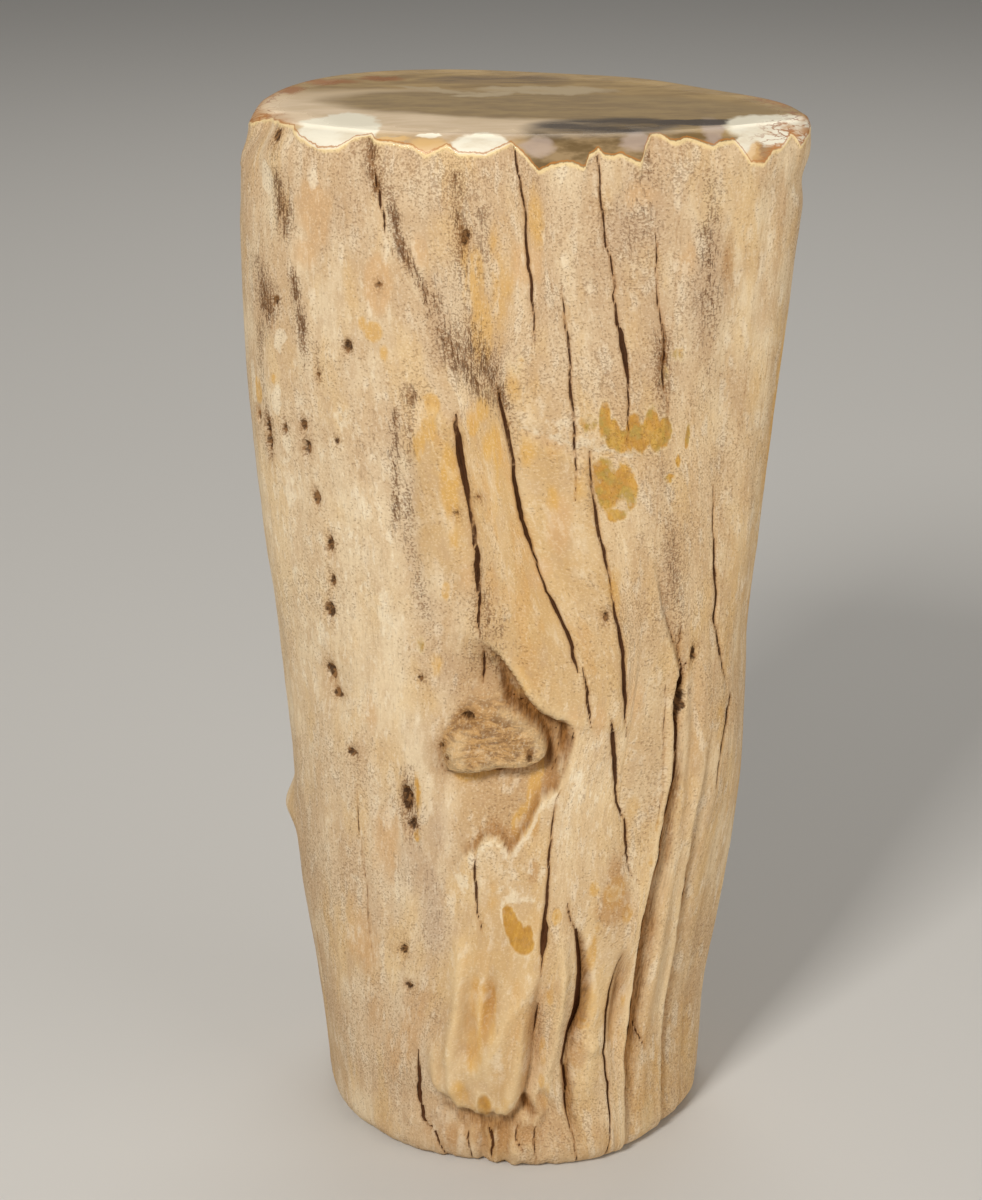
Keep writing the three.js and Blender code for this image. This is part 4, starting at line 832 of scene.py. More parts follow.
    def slab(self):
        """A thin smooth slab: its top edge in three fingers, its left edge soft, its foot sharp."""
        teeth = 0.9 * layers(self.around / 1.5, 9.2, octaves=2)
        inside = self.across(read(SLAB_LEFT, self.height)) + self.wander(81, 2.5, 0.5)
        below = read(SLAB_TOP, self.angle) + teeth - self.height
        above = self.height - read(SLAB_FOOT, self.angle)
        left_of = -self.across(read(SLAB_RIGHT, self.height)) + self.wander(83, 4, 0.6)
        left_foot = 1 - smooth(-6, -11, self.angle) * smooth(86, 75, self.height)
        field = smooth(-0.9, 1.0, inside) * smooth(-0.15, 0.35, below) * smooth(-0.4, 0.2, above)
        field = self.front * field * smooth(-1.6, 0.8, left_of) * (1 - self.in_hollow) * left_foot
        self.out += SLAB_OUT * field
        self.tone("slab", field)
        # A painted highlight just inside the slab's top edge.
        self.tone("painted_highlight", 0.5 * field * bell((below - 0.3) / 0.35))
        # Grime and painted shade just above the top edge.
        beside = self.front * (inside > 0) * (left_of > 0)
        self.tone("grime_and_shade", 0.3 * beside * bell((below + 0.3) / 0.4))

    def chipped_edge(self):
        """The lower edge of the skin above the slab, flaked off in a low step."""
        chips = layers(self.around / 1.3, 12.6, octaves=3)
        above = self.height - read(CHIPPED_EDGE, self.angle) - chips
        part = smooth(-4, -1, self.angle) * smooth(29, 22, self.angle)
        self.out += 0.35 * smooth(-0.15, 0.3, above) * part * smooth(116, 103, self.height)
        self.tone("chalk", 0.6 * part * bell(above / 0.8))

    def plate(self):
        """The raised plate low on the front, thick and pleated at its foot, over a rough recess."""
        jag = self.jags(2.4, 5, 3.3, 3)
        inside = self.across(read(PLATE_LEFT, self.height)) + 0.8 * jag
        above = self.height - read(PLATE_FOOT, self.angle) + 1.9 * jag
        within = -self.across(read(PLATE_RIGHT, self.height)) + 0.4 * jag
        low = smooth(32, 18, self.height)
        field = smooth(-1.6, 3.4 - 1.2 * low, inside) * smooth(-0.4, 1.4, above)
        field = self.front * field * smooth(-1.8, 2.4, within)
        field = field * smooth(0, 1.0, PLATE_TOP + 0.6 * jag - self.height)
        thick = 0.12 + 0.88 * smooth(32, 13, self.height)
        ridges = 0.34 * self.jags(1.5, 11, 8.8, 3)
        lumps = 0.3 * self.jags(2.6, 3.0, 1.9, 3)
        self.out += field * (PLATE_OUT * thick + (ridges + lumps) * low)
        self.tone("plate", field * smooth(46, 28, self.height))
        # A painted highlight inside the plate's left edge.
        self.tone("painted_highlight", 0.4 * field * low * bell((inside - 1.8) / 1.2))
        recess = self.front * bell((self.angle + 9) / 26) * smooth(13, 8, self.height)
        rough = self.jags(1.5, 1.9, 7.7, 3)
        self.out -= recess * (1.0 + 0.7 * rough)
        # Painted shade under the plate's foot, and grime and painted shade over the recess.
        self.tone("shade", 0.8 * recess * bell((above + 0.8) / 1.0) * smooth(4, -3, self.angle))
        self.tone("grime_and_shade", 0.4 * recess * (1 + rough))

    def lip(self):
        """A notch under the lip at the right of the top."""
        self.out -= 0.8 * bell(self.oval(90, 128.5, 9, 2.2))

    def chips_behind(self):
        """Flat flakes off the left back rim: steps of noise."""
        part = bell(turn(-128, self.angle) / 34) * smooth(118, 131, self.height)
        flakes = np.round(3 * noise(self.around / 5.5, self.height / 4.5, 9.1)) / 3
        self.out -= 1.3 * part * flakes

    def patches(self):
        """Soft ovals of tone, and streaks down the grain."""
        tables = (
            ("ochre", OCHRE, 0.5), ("chalk", CHALK, 0.3), ("grey", GREY, 0.1),
            ("peach", PEACH, 0.1), ("yellow", YELLOW, 0.1), ("brown", BROWN, 0.1),
        )
        for name, table, core in tables:
            for *oval, strength in table:
                self.tone(name, strength * (1 - smooth(core, 1.5, self.oval(*oval))))
        for line in STREAKS:
            off = self.across(read(line, self.height)) / (0.3 + 1.5 * read(line, self.height, 2))
            self.tone("streak", self.on_line(line) * read(line, self.height, 3) * bell(off))

    def regions(self):
        """Broad tones: grey high in front, warm on the right, tawny in front, pale on the left."""
        upper = smooth(92, 112, self.height) * bell(turn(16, self.angle) / 40)
        self.tone("grey", 0.45 * upper)
        self.tone("warm", 0.7 * smooth(50, 80, self.angle) * smooth(150, 110, self.angle))
        below = smooth(112, 96, self.height)
        tawny = smooth(-22, -8, self.angle) * smooth(90, 56, self.angle)
        self.tone("tawny", tawny * (0.3 + 0.7 * below))
        self.tone("pale", smooth(-20, -32, self.angle) * bell((self.height - 78) / 26))
        self.tone("pale", 0.8 * self.front * bell(self.oval(16, 54, 6, 12)))

    def close_to_rim(self, drop):
        """Near the rim the relief turns into the ground edge."""
        below = HEIGHT - drop - self.height
        near = smooth(RIM_BLEND + SHOULDER_BLEND * shoulder(self.angle), 0, below) ** 2
        self.out = self.out * (1 - near) + ground_edge(self.angle, drop) * near
        self.tones["from_rim"] = np.minimum(below, RIM_REACH)

    def dip_shade_and_edge_highlights(self):
        """Painted shade in the dips and painted highlights on the edges: the relief less its own blur
        over about two millimetres.
        """
        blur = self.out
        for _ in range(3):
            blur = sum(np.roll(blur, k, axis=1) for k in range(-4, 5)) / 9
            padded = np.pad(blur, ((1, 1), (0, 0)), mode="edge")
            blur = (padded[:-2] + padded[1:-1] + padded[2:]) / 3
        lift = self.out - blur
        self.tone("painted_dip_shade", smooth(0.1, 0.9, -lift))
        self.tone("painted_highlight", 0.7 * smooth(0.08, 0.5, lift))


def grain_space(angle, height):
    """The point each column would stand at if the grain ran straight: patterns follow the grain."""
    turned = np.radians(angle.mean(axis=0))[None, :] + 0 * height
    x, y = GRAIN_WIDTH * np.sin(turned), -GRAIN_DEPTH * np.cos(turned)
    return np.stack([x, y, height], axis=-1)


def weathered_side():
    """The rows of the side from the base to the rim, with their grain coordinates and tones.

    Each column's rows end at the rim: they are shifted down by the rim's drop there, fading out
    lower down the side.
    """
    levels = spread_rows(ROW_BANDS)
    angle = column_angles(levels)
    drop = rim_drop(angle)
    height = levels[:, None] - drop * smooth(RIM_SHIFT_START, HEIGHT, levels)[:, None]
    side = Side(angle, height)
    grain = grain_space(angle, height)
    side.swellings()
    side.hollow()
    side.knot()
    side.slab()
    side.chipped_edge()
    side.plate()
    side.folds()
    side.valleys()
    side.cracks()
    side.bumps()
    side.pits()
    side.lip()
    side.fibres(grain)
    side.chips_behind()
    side.patches()
    side.regions()
    side.close_to_rim(drop)
    side.dip_shade_and_edge_highlights()
    out = side.out + lobes(angle, height) + base_edge(height)
    return place(angle, height, out), grain, side.tones, angle[-1], drop[-1]


def polished_rows(angle, drop):
    """The ground edge up from the rim, then rings over the flat face towards its middle."""
    rows = []
    for share in GROUND_ROWS:
        down = drop * share
        rows.append(place(angle, HEIGHT - down, lobes(angle, HEIGHT) + ground_edge(angle, down)))
    edge = rows[-1]
    for share in FACE_RINGS:
        rows.append(FACE_MIDDLE + (edge - FACE_MIDDLE) * (1 - share))
    return np.stack(rows)


def rim_distance(rows):
    """Running distance from the first row along each column."""
    steps = np.linalg.norm(np.diff(rows, axis=0), axis=2)
    return np.concatenate([np.zeros((1, rows.shape[1])), np.cumsum(steps, axis=0)])


def limb_faces(row_count, around):
    """Quads between rows, then a fan to the last point but one below and to the last above."""
    row, column = np.meshgrid(np.arange(row_count - 1), np.arange(around), indexing="ij")
    after = (column + 1) % around
    corner = row * around + column
    beside = row * around + after
    quads = np.stack([corner, beside, beside + around, corner + around], axis=-1).reshape(-1, 4)
    first = np.arange(around)
    last = (row_count - 1) * around + first
    low, high = row_count * around, row_count * around + 1
    below = np.stack([np.full(around, low), np.roll(first, -1), first], axis=1)
    above = np.stack([np.full(around, high), last, np.roll(last, -1)], axis=1)
    return quads, below, above


def fit_box(points):
    """Centres the points on the CAD solid's box, and brings them within it where they pass it."""
    low, high = np.array(low_corner), np.array(high_corner)
    own_low, own_high = points.min(axis=0), points.max(axis=0)
    shrink = np.minimum(1, (high - low) / (own_high - own_low))
    return (points - (own_low + own_high) / 2) * shrink + (low + high) / 2


def add_object(name, data):
    """A new object in the scene."""
    made = bpy.data.objects.new(name, data)
    bpy.context.scene.collection.objects.link(made)
    return made


def make_limb(materials):
    """One closed mesh: base ring, side rows, ground edge, face rings and the two middles.

    The points carry the side's grain and tones, and the top has those of the side's last row. Only
    from_rim grows inwards there, with the distance from the rim.
    """
    side, grain, tones, angle, drop = weathered_side()
    face = polished_rows(angle, drop)
    base_middle = np.array([0, AXIS_Y, 0.0])
    base_ring = base_middle + (side[0] - base_middle) * BASE_RING
    rows = np.concatenate([base_ring[None], side, face])
    around = rows.shape[1]
    points = np.concatenate([rows.reshape(-1, 3), [base_middle, FACE_MIDDLE]])
    quads, below, above = limb_faces(len(rows), around)
    mesh = bpy.data.meshes.new("limb")
    faces = [*quads.tolist(), *below.tolist(), *above.tolist()]
    mesh.from_pydata(fit_box(points * MM), [], faces)
    for material in materials:
        mesh.materials.append(material)
    side_quads = len(side) * around
    slots = np.full(len(faces), WEATHERED)
    slots[:around] = SAWN
    slots[side_quads:len(quads)] = POLISHED
    slots[len(quads):len(quads) + around] = SAWN
    slots[len(quads) + around:] = POLISHED
    mesh.polygons.foreach_set("material_index", slots)
    mesh.polygons.foreach_set("use_smooth", np.ones(len(faces), bool))
    in_from_rim = rim_distance(np.concatenate([side[-1:], face]))[1:]
    for name, field in tones.items():
        beyond = in_from_rim if name == "from_rim" else np.repeat(field[-1:], len(face), axis=0)
        values = np.concatenate([field[:1], field, beyond]).ravel()
        values = np.concatenate([values, [0.0, RIM_REACH]])
        mesh.attributes.new(name, "FLOAT", "POINT").data.foreach_set("value", values)
    grain_rows = np.concatenate([grain[:1], grain, np.repeat(grain[-1:], len(face), axis=0)])
    grain_points = np.concatenate([grain_rows.reshape(-1, 3), np.zeros((2, 3))])
    held = mesh.attributes.new("grain", "FLOAT_VECTOR", "POINT")
    held.data.foreach_set("vector", grain_points.ravel())
    mesh.validate()
    return add_object("limb", mesh)


def linear(red, green, blue):
    """A colour given as screen values from 0 to 255, as the renderer's linear numbers."""
    parts = np.array([red, green, blue]) / 255
    shown = np.where(parts <= 0.04045, parts / 12.92, ((parts + 0.055) / 1.055) ** 2.4)
    return (*shown.tolist(), 1.0)


class Value:
    """A number, vector or colour in a material. Arithmetic on it adds Math nodes."""

    def __init__(self, sheet, socket):
        self.sheet = sheet
        self.socket = socket

    def _math(self, operation, *inputs, clamp=False):
        settings = {"operation": operation, "use_clamp": clamp}
        return self.sheet.node("ShaderNodeMath", settings, dict(enumerate(inputs)))

    def __add__(self, other):
        return self._math("ADD", self, other)

    def __sub__(self, other):
        return self._math("SUBTRACT", self, other)

    def __rsub__(self, other):
        return self._math("SUBTRACT", other, self)

    def __mul__(self, other):
        return self._math("MULTIPLY", self, other)

    def __truediv__(self, other):
        return self._math("DIVIDE", self, other)

    __radd__ = __add__
    __rmul__ = __mul__

    def most(self, other):
        return self._math("MAXIMUM", self, other)

    def size(self):
        return self._math("ABSOLUTE", self)

    def held(self):
        """Kept within 0 and 1."""
        return self._math("ADD", self, 0.0, clamp=True)

    def step(self, low, high):
        """0 below low, 1 above high, an S curve between."""
        inputs = {"Value": self, "From Min": low, "From Max": high, "To Min": 0.0, "To Max": 1.0}
        return self.sheet.node("ShaderNodeMapRange", {"interpolation_type": "SMOOTHSTEP"}, inputs)


class Sheet:
    """One material's node tree, with a few ways to add to it."""

    def __init__(self, name):
        self.material = bpy.data.materials.new(name)
        self.material.use_nodes = True
        self.tree = self.material.node_tree
        self.tree.nodes.clear()

    def node(self, kind, settings=None, inputs=None, output=0):
        """Any node: its settings first, then the values or links it takes. Gives one output."""
        made = self.tree.nodes.new(kind)
        for name, value in (settings or {}).items():
            setattr(made, name, value)
        for name, value in (inputs or {}).items():
            if isinstance(value, Value):
                self.tree.links.new(value.socket, made.inputs[name])
            else:
                made.inputs[name].default_value = value
        return Value(self, made.outputs[output])

    def tone(self, name, output="Fac"):
        """A tone that the mesh carries, or its grain as a vector."""
        return self.node("ShaderNodeAttribute", {"attribute_name": name}, output=output)

    def place(self):
        """Object coordinates in millimetres."""
        here = self.node("ShaderNodeTexCoord", output="Object")
        return self.scaled(here, (1 / MM, 1 / MM, 1 / MM))

    def scaled(self, vector, by):
        return self.node("ShaderNodeVectorMath", {"operation": "MULTIPLY"}, {0: vector, 1: by})

    def moved(self, vector, by):
        return self.node("ShaderNodeVectorMath", {"operation": "ADD"}, {0: vector, 1: by})

    def parts(self, vector):
        """The three numbers of a vector."""
        kind = "ShaderNodeSeparateXYZ"
        return [self.node(kind, inputs={"Vector": vector}, output=axis) for axis in "XYZ"]

    def speckle(self, vector, pitch, detail=2, rough=0.5, output="Fac"):
        """Noise whose lumps are about pitch millimetres apart."""
        inputs = {"Vector": vector, "Scale": 1 / pitch, "Detail": detail, "Roughness": rough}
        return self.node("ShaderNodeTexNoise", inputs=inputs, output=output)

    def shaken(self, vector, pitch, amount):
        """A vector moved about by noise, so that a pattern's edges come out uneven."""
        centred = self.moved(self.speckle(vector, pitch, output="Color"), (-0.5, -0.5, -0.5))
        return self.moved(vector, self.scaled(centred, (amount, amount, amount)))

    def mix(self, share, first, second):
        """A colour between two, by a share from 0 to 1. A tint is three screen values."""
        first, second = (c if isinstance(c, Value) else linear(*c) for c in (first, second))
        inputs = {0: share, 6: first, 7: second}
        return self.node("ShaderNodeMix", {"data_type": "RGBA"}, inputs, output=2)

    def coats(self, colour, *coats):
        """Coats laid over a colour in turn, each a share from 0 to 1 and a tint."""
        for share, tint in coats:
            colour = self.mix(share, colour, tint)
        return colour

    def bump(self, height, distance, strength):
        inputs = {"Height": height, "Distance": distance, "Strength": strength}
        return self.node("ShaderNodeBump", inputs=inputs)

    def finish(self, colour, roughness, **others):
        """The surface shader: what varies is linked, and constants are set on its own sockets."""
        inputs = {"Base Color": colour, "Roughness": roughness}
        inputs.update({name.replace("_", " "): value for name, value in others.items()})
        shader = self.node("ShaderNodeBsdfPrincipled", inputs=inputs)
        output = self.tree.nodes.new("ShaderNodeOutputMaterial")
        self.tree.links.new(shader.socket, output.inputs["Surface"])
        return self.material


class WeatheredWood(Sheet):
    """Dry fossil wood: cream and tan mottling, fine pores along the grain, stains, dark cracks,
    and painted shade and highlights.

    The patterns come first, and each method then lays its own coats over the colour so far.
    """

    def __init__(self):
        super().__init__("weathered_fossil_wood")
        self.here = self.place()
        self.up = self.parts(self.here)[2]
        grain = self.tone("grain", "Vector")
        self.along = self.scaled(grain, (1, 1, 0.35))
        self.broad = self.speckle(self.here, 14)
        self.mottle = self.speckle(self.along, 3.6, 4, 0.55)
        self.blotch = self.speckle(self.moved(self.along, (31, 7, 3)), 1.6, 3, 0.55)
        self.ragged = self.speckle(self.scaled(grain, (1, 1, 0.6)), 0.9, 3, 0.7)
        self.fine = self.speckle(self.scaled(grain, (1, 1, 0.8)), 0.5, 2, 0.6)
        self.grit = self.speckle(self.moved(grain, (9, 4, 1)), 0.25, 1)
        self.fibre = self.speckle(self.scaled(grain, (1, 1, 0.07)), 0.42, 2, 0.6)
        dashes = self.scaled(self.moved(grain, (3, 8, 0)), (1, 1, 0.16))
        self.dash = self.speckle(dashes, 0.22, 2, 0.6)

        self.slab = self.tone("slab")
        self.plate = self.tone("plate")
        self.pale = self.tone("pale")
        self.streak = self.tone("streak") * (0.3 + 1.3 * self.blotch).held()
        self.grey = self.clouded("grey", 0.8).step(0.15, 0.85)
        self.peach = self.clouded("peach", 1.0).step(0.2, 0.6)
        self.yellow = self.clouded("yellow", 1.1).step(0.25, 0.65)
        shake = 0.3 + self.up.step(39, 48) * 0.7
        uneven = (self.ragged - 0.5) * shake + (self.blotch - 0.5) * shake * 1.3
        self.ochre_edge = self.tone("ochre") + uneven
        self.ochre = self.ochre_edge.step(0.3, 0.76)

    def clouded(self, name, amount):
        """A tone made uneven by the mottling."""
        return self.tone(name) + (self.mottle - 0.5) * amount

    def ground(self):
        """The mottled ground colour, with its greyer, golden, smoother and chalky places."""
        gold = self.speckle(self.moved(self.along, (5, 50, 9)), 4.4, 3).step(0.5, 0.66)
        skin = self.slab.most(self.plate * 0.7) * (0.55 + 0.45 * self.mottle.step(0.3, 0.6))
        brown = self.clouded("brown", 1.1).step(0.2, 0.8)
        amber = self.speckle(self.moved(self.along, (70, 5, 22)), 2.8, 3).step(0.5, 0.66)
        warm = self.slab.most(self.tone("warm")).most(self.plate)
        chalk = self.tone("chalk") + self.pale * 0.1 + (self.ragged - 0.5) * 1.3
        light = self.blotch.step(0.54, 0.68) * (1 - self.slab * 0.5)
        dusk = (1 - self.blotch).step(0.54, 0.68)
        return self.coats(
            self.mix(self.mottle.step(0.36, 0.62), (224, 203, 169), (202, 173, 136)),
            (self.broad.step(0.42, 0.62) * 0.4, (200, 171, 139)),
            (gold * 0.5, (217, 181, 124)),
            (self.grey * 0.65, (187, 162, 137)),
            (skin * 0.75, (198, 162, 109)),
            (self.tone("tawny") * 0.3, (212, 174, 116)),
            (self.pale * 0.5, (234, 214, 178)),
            (self.tone("hollow") * 0.8, (186, 150, 106)),
            (self.peach * 0.75, (210, 170, 122)),
            (self.yellow * 0.75, (213, 165, 82)),
            (brown * 0.62, (178, 130, 76)),
            (amber * (0.1 + warm * 0.4), (206, 158, 92)),
            (chalk.step(0.34, 0.7) * 0.62, (240, 227, 199)),
            (light * 0.5, (236, 220, 192)),
            (dusk * 0.35, (190, 158, 122)),
        )

    def knot(self, colour):
        """The knot's wrinkled brown."""
        wrinkled = self.shaken(self.scaled(self.here, (0.5, 0.5, 1.1)), 1.8, 2)
        burl = self.speckle(wrinkled, 0.8, 4, 0.65)
        on_knot = self.tone("knot")
        self.wrinkles = burl * on_knot
        tint = self.mix(burl.step(0.35, 0.63), (120, 82, 42), (198, 153, 95))
        return self.mix(on_knot * 0.85, colour, tint)

    def pores(self, colour):
        """Light flecks, dust, and dark pores and lines that crowd together in the streaks."""
        streak, grey, pale = self.streak, self.grey, self.pale
        crowd = streak * 0.2 + grey * 0.025 + (self.broad - 0.5) * 0.34
        crowd = crowd + (self.blotch - 0.5) * 0.34 - pale * 0.05 - self.slab * 0.05
        crowd = crowd - self.plate * 0.08 - self.ochre * 0.06 - self.peach * 0.1 - self.yellow * 0.08
        self.holes = (self.grit + crowd).step(0.6, 0.72)
        clots = (self.fine + crowd * 0.8).step(0.62, 0.76)
        core = (streak * streak * streak * 1.5).held()
        lines = (self.dash + streak * 0.1 + core * 0.06 + grey * 0.02 + pale * 0.03).step(0.63, 0.7)
        self.lines = lines * (streak * 0.9 + core * 0.6 + grey * 0.3 + pale * 0.15 + 0.12).held()
        flecks = self.speckle(self.moved(self.along, (12, 80, 5)), 0.85, 3, 0.7).step(0.55, 0.66)
        dusty = 0.45 + (self.broad - 0.5) * 3 + (self.mottle - 0.5) * 1.5
        dusty = (dusty + grey * 0.3 - self.slab * 0.3 - self.plate * 0.4).held()
        return self.coats(
            colour,
            (flecks * (0.2 + pale * 0.35), (244, 232, 206)),
            (self.grit.step(0.34, 0.7) * (0.06 + dusty * 0.17), (172, 140, 106)),
            (self.fine.step(0.36, 0.66) * (0.06 + dusty * 0.15), (178, 148, 114)),
            (self.fibre.step(0.4, 0.7) * 0.16, (184, 150, 110)),
            ((1 - self.grit).step(0.54, 0.7) * 0.25, (238, 220, 188)),
            (streak * 0.4, (174, 144, 116)),
            (core * 0.2, (132, 96, 58)),
            (clots * (0.22 + streak * 0.28).held(), (136, 95, 52)),
            (self.holes * (0.27 + streak * 0.38).held(), (116, 76, 40)),
            (self.lines * 0.66, (92, 56, 26)),
        )

    def stains(self, colour):
        """Ochre stains with a pale halo, in places olive on the upper half."""
        olive = self.speckle(self.moved(self.here, (4, 4, 40)), 2, 3, 0.6).step(0.42, 0.58)
        tint = self.coats(
            self.mix(olive * self.up.step(50, 70), (184, 130, 36), (164, 134, 50)),
            (self.blotch.step(0.5, 0.62) * 0.6, (206, 152, 44)),
            (self.fine.step(0.52, 0.68) * 0.4, (214, 176, 96)),
            ((1 - self.ragged).step(0.5, 0.66) * 0.5, (146, 98, 30)),
        )
        halo = self.ochre_edge.step(0.16, 0.3) * (1 - self.ochre) * self.tone("ochre").step(0.1, 0.4)
        return self.coats(
            colour,
            (halo * 0.25, (234, 214, 172)),
            (self.ochre * (0.66 + 0.5 * self.fine).held() * 0.9, tint),
        )

    def grime_shade_and_highlights(self, colour):
        """Grime and painted shade in the dips, painted hatched shade in the recesses, and painted
        highlights on raised edges.
        """
        grime_and_shade = self.tone("grime_and_shade").most(self.tone("painted_dip_shade") * 0.7) * (0.6 + 0.8 * self.ragged).held()
        shade = self.tone("shade") * (0.45 + 1.1 * self.fibre).held()
        return self.coats(
            colour,
            (grime_and_shade * 0.6, (166, 118, 64)),
            (shade * 0.85, (148, 100, 48)),
            (shade * self.dash.step(0.44, 0.6) * 0.6, (96, 62, 30)),
            (self.tone("painted_highlight") * 0.45, (234, 208, 162)),
        )

    def openings(self, colour):
        """Dark pits, then cracks with a brown margin, whose floors are lighter low down."""
        ragged_edge = (self.ragged - 0.5) * 0.35
        pit = self.tone("hole") + ragged_edge * 3
        gap = self.tone("gap") + ragged_edge * 0.5
        # The crack mark also draws the painted shadow line under the knot's foot.
        self.cut = gap.step(-0.05, 0.05)
        # The dark floors of pits and cracks are partly their own brown, partly painted shade inside
        # them.
        pit_floor = self.mix(self.fine.step(0.42, 0.6), (60, 34, 14), (130, 92, 54))
        deep = gap.step(0.12, 0.4)
        high_floor = self.mix(deep, (66, 34, 14), (28, 12, 4))
        low_floor = self.mix(deep, (78, 42, 18), (70, 34, 14))
        return self.coats(
            colour,
            (pit.step(-0.9, 0.1) * self.grit.step(0.45, 0.6) * 0.35, (122, 82, 44)),
            (pit.step(-0.08, 0.14) * 0.9, pit_floor),
            (gap.step(-0.25, 0) * 0.4, (156, 106, 54)),
            (self.cut * 0.94, self.mix(1 - self.up.step(34, 60), high_floor, low_floor)),
        )

    def make(self):
        """All the coats, then a cream rind along the rim, and the fine relief."""
        colour = self.knot(self.ground())
        colour = self.grime_shade_and_highlights(self.stains(self.pores(colour)))
        colour = self.openings(colour)
        from_rim = self.tone("from_rim") + (self.ragged - 0.5) * 0.9
        rind = 1 - from_rim.step(0, 0.5)
        colour = self.mix(rind * 0.75, colour, (236, 210, 156))
        roughness = 0.84 - self.slab * 0.12 - self.ochre * 0.16 - rind * 0.2 + self.holes * 0.1
        height = self.fine * 0.4 + self.fibre * 0.3 + self.mottle * 0.4 + self.blotch * 0.4
        height = height + self.wrinkles * 2.2 - self.holes * 0.3 - self.cut * 1.5
        height = height - self.ochre * 0.1 - self.lines * 0.4
        relief = self.bump(height, 0.0002, 0.9)
        return self.finish(colour, roughness.held(), Normal=relief, Specular_IOR_Level=0.1)


class PolishedTop(Sheet):
    """Polished chalcedony: taupe, grey and white zones, brown bands, and a rind line at the rim.

    The zones are ovals whose sides lean: y grows by LEAN for each millimetre up, so a zone that
    reaches the ground edge runs on down it.
    """

    def __init__(self):
        super().__init__("polished_chalcedony")
        self.here = self.place()
        self.up = self.parts(self.here)[2]
        lifted = self.node("ShaderNodeCombineXYZ", inputs={"Y": (self.up - HEIGHT) * LEAN})
        leaning = self.moved(self.here, lifted)
        self.flat = self.scaled(leaning, (1, 1, 0))
        wide_shake = self.shaken(self.flat, 7, 3.4)
        self.x, self.y, _ = self.parts(wide_shake)
        rough_shake = self.shaken(self.scaled(leaning, (1, FINE_DEPTH, 0)), 3.2, 2.6)
        self.fine_x, fine_y, _ = self.parts(self.shaken(rough_shake, 0.9, 0.8))
        self.fine_y = fine_y * (1 / FINE_DEPTH)
        self.bands = self.speckle(self.scaled(wide_shake, (0.3, 1.3, 1)), 3, 4, 0.65)
        self.cloud = self.speckle(self.flat, 5, 4, 0.6)
        self.streaky = self.speckle(self.scaled(self.flat, (0.35, 1, 1)), 0.9, 4, 0.7)

    def oval(self, x, y, at, reach, tilt, edge):
        """An oval with a soft edge: its middle, half-width and half-depth, and tilt in degrees."""
        turned = math.radians(tilt)
        aside, away = x - at[0], y - at[1]
        along = (aside * math.cos(turned) + away * math.sin(turned)) / reach[0]
        square = (away * math.cos(turned) - aside * math.sin(turned)) / reach[1]
        return 1 - (along * along + square * square).step(1 - edge, 1 + edge)

    def zone(self, at, reach, tilt, edge):
        """A broad oval, shaken widely."""
        return self.oval(self.x, self.y, at, reach, tilt, edge)

    def near(self, at, reach, tilt, edge):
        """A small oval, shaken finely."""
        return self.oval(self.fine_x, self.fine_y, at, reach, tilt, edge)

    def spots(self, colour, places, edge, share, tint):
        """Small ovals of one tint over a colour."""
        for at, reach in places:
            colour = self.mix(self.near(at, reach, 0, edge) * share, colour, tint)
        return colour

    def back(self):
        """Olive bands, a light mauve zone, the taupe heart, a light arch and brown spots behind."""
        bands = self.bands
        mauve = self.zone((-13, -0.5), (23, 13), -12, 0.5) * (0.7 + bands.step(0.3, 0.7) * 0.3)
        taupe = self.mix(bands.step(0.35, 0.65), (148, 121, 76), (168, 140, 88))
        taupe = self.mix(self.streaky.step(0.5, 0.7) * 0.3, taupe, (120, 98, 64))
        arch = self.near((3, 13.4), (8.5, 2.8), -6, 0.5)
        arch = arch.most(self.near((-4.5, 10.4), (4, 1.6), 20, 0.6))
        arch = arch.most(self.near((-10.5, 13.4), (6.5, 0.9), -30, 0.7) * 0.8)
        behind = self.mix(bands.step(0.4, 0.6), (134, 106, 68), (108, 84, 56))
        colour = self.coats(
            self.mix(bands.step(0.35, 0.65), (182, 150, 92), (150, 120, 68)),
            (mauve, (242, 216, 180)),
            (self.zone((2.5, 3.4), (28, 8.6), -8, 0.3), taupe),
            (arch * bands.step(0.2, 0.5) * 0.85, (196, 174, 136)),
            (self.zone((-3.5, 20.4), (9.5, 2.9), 0, 0.5) * 0.6, behind),
        )
        rust = (((-25, 19), (3.6, 1.8)), ((-18, 21.2), (2.6, 1.4)), ((-29.5, 13), (1.6, 2.6)))
        return self.spots(colour, rust, 1.0, 0.9, (154, 90, 4))

    def front(self, colour):
        """Clouded grey on the right and beige on the left, with light spots and a dark band."""
        x, y = self.fine_x, self.y
        grey = self.mix(self.cloud.step(0.38, 0.62), (104, 84, 56), (154, 130, 96))
        beige = self.mix(self.cloud.step(0.4, 0.6), (206, 184, 156), (186, 158, 124))
        colour = self.coats(
            colour,
            ((1 - y.step(-14, -9)) * x.step(-1.5, 1.5) * 0.9, grey),
            ((1 - y.step(-16, -11)) * (1 - x.step(-1.5, 1)) * 0.8, beige),
        )
        light = (((22.9, -11), (1.3, 6)), ((13.2, -15.5), (1.6, 3.6)), ((1.6, -18), (1.8, 3)))
        colour = self.spots(colour, light, 0.6, 0.7, (184, 164, 150))
        dark = self.zone((10, -8.6), (9.5, 4.2), 4, 0.5) * (0.65 + self.bands.step(0.3, 0.6) * 0.35)
        dark = dark.most(self.zone((20.5, -6.6), (6, 1.6), 8, 0.5))
        return self.mix(dark * 0.92, colour, (50, 33, 16))

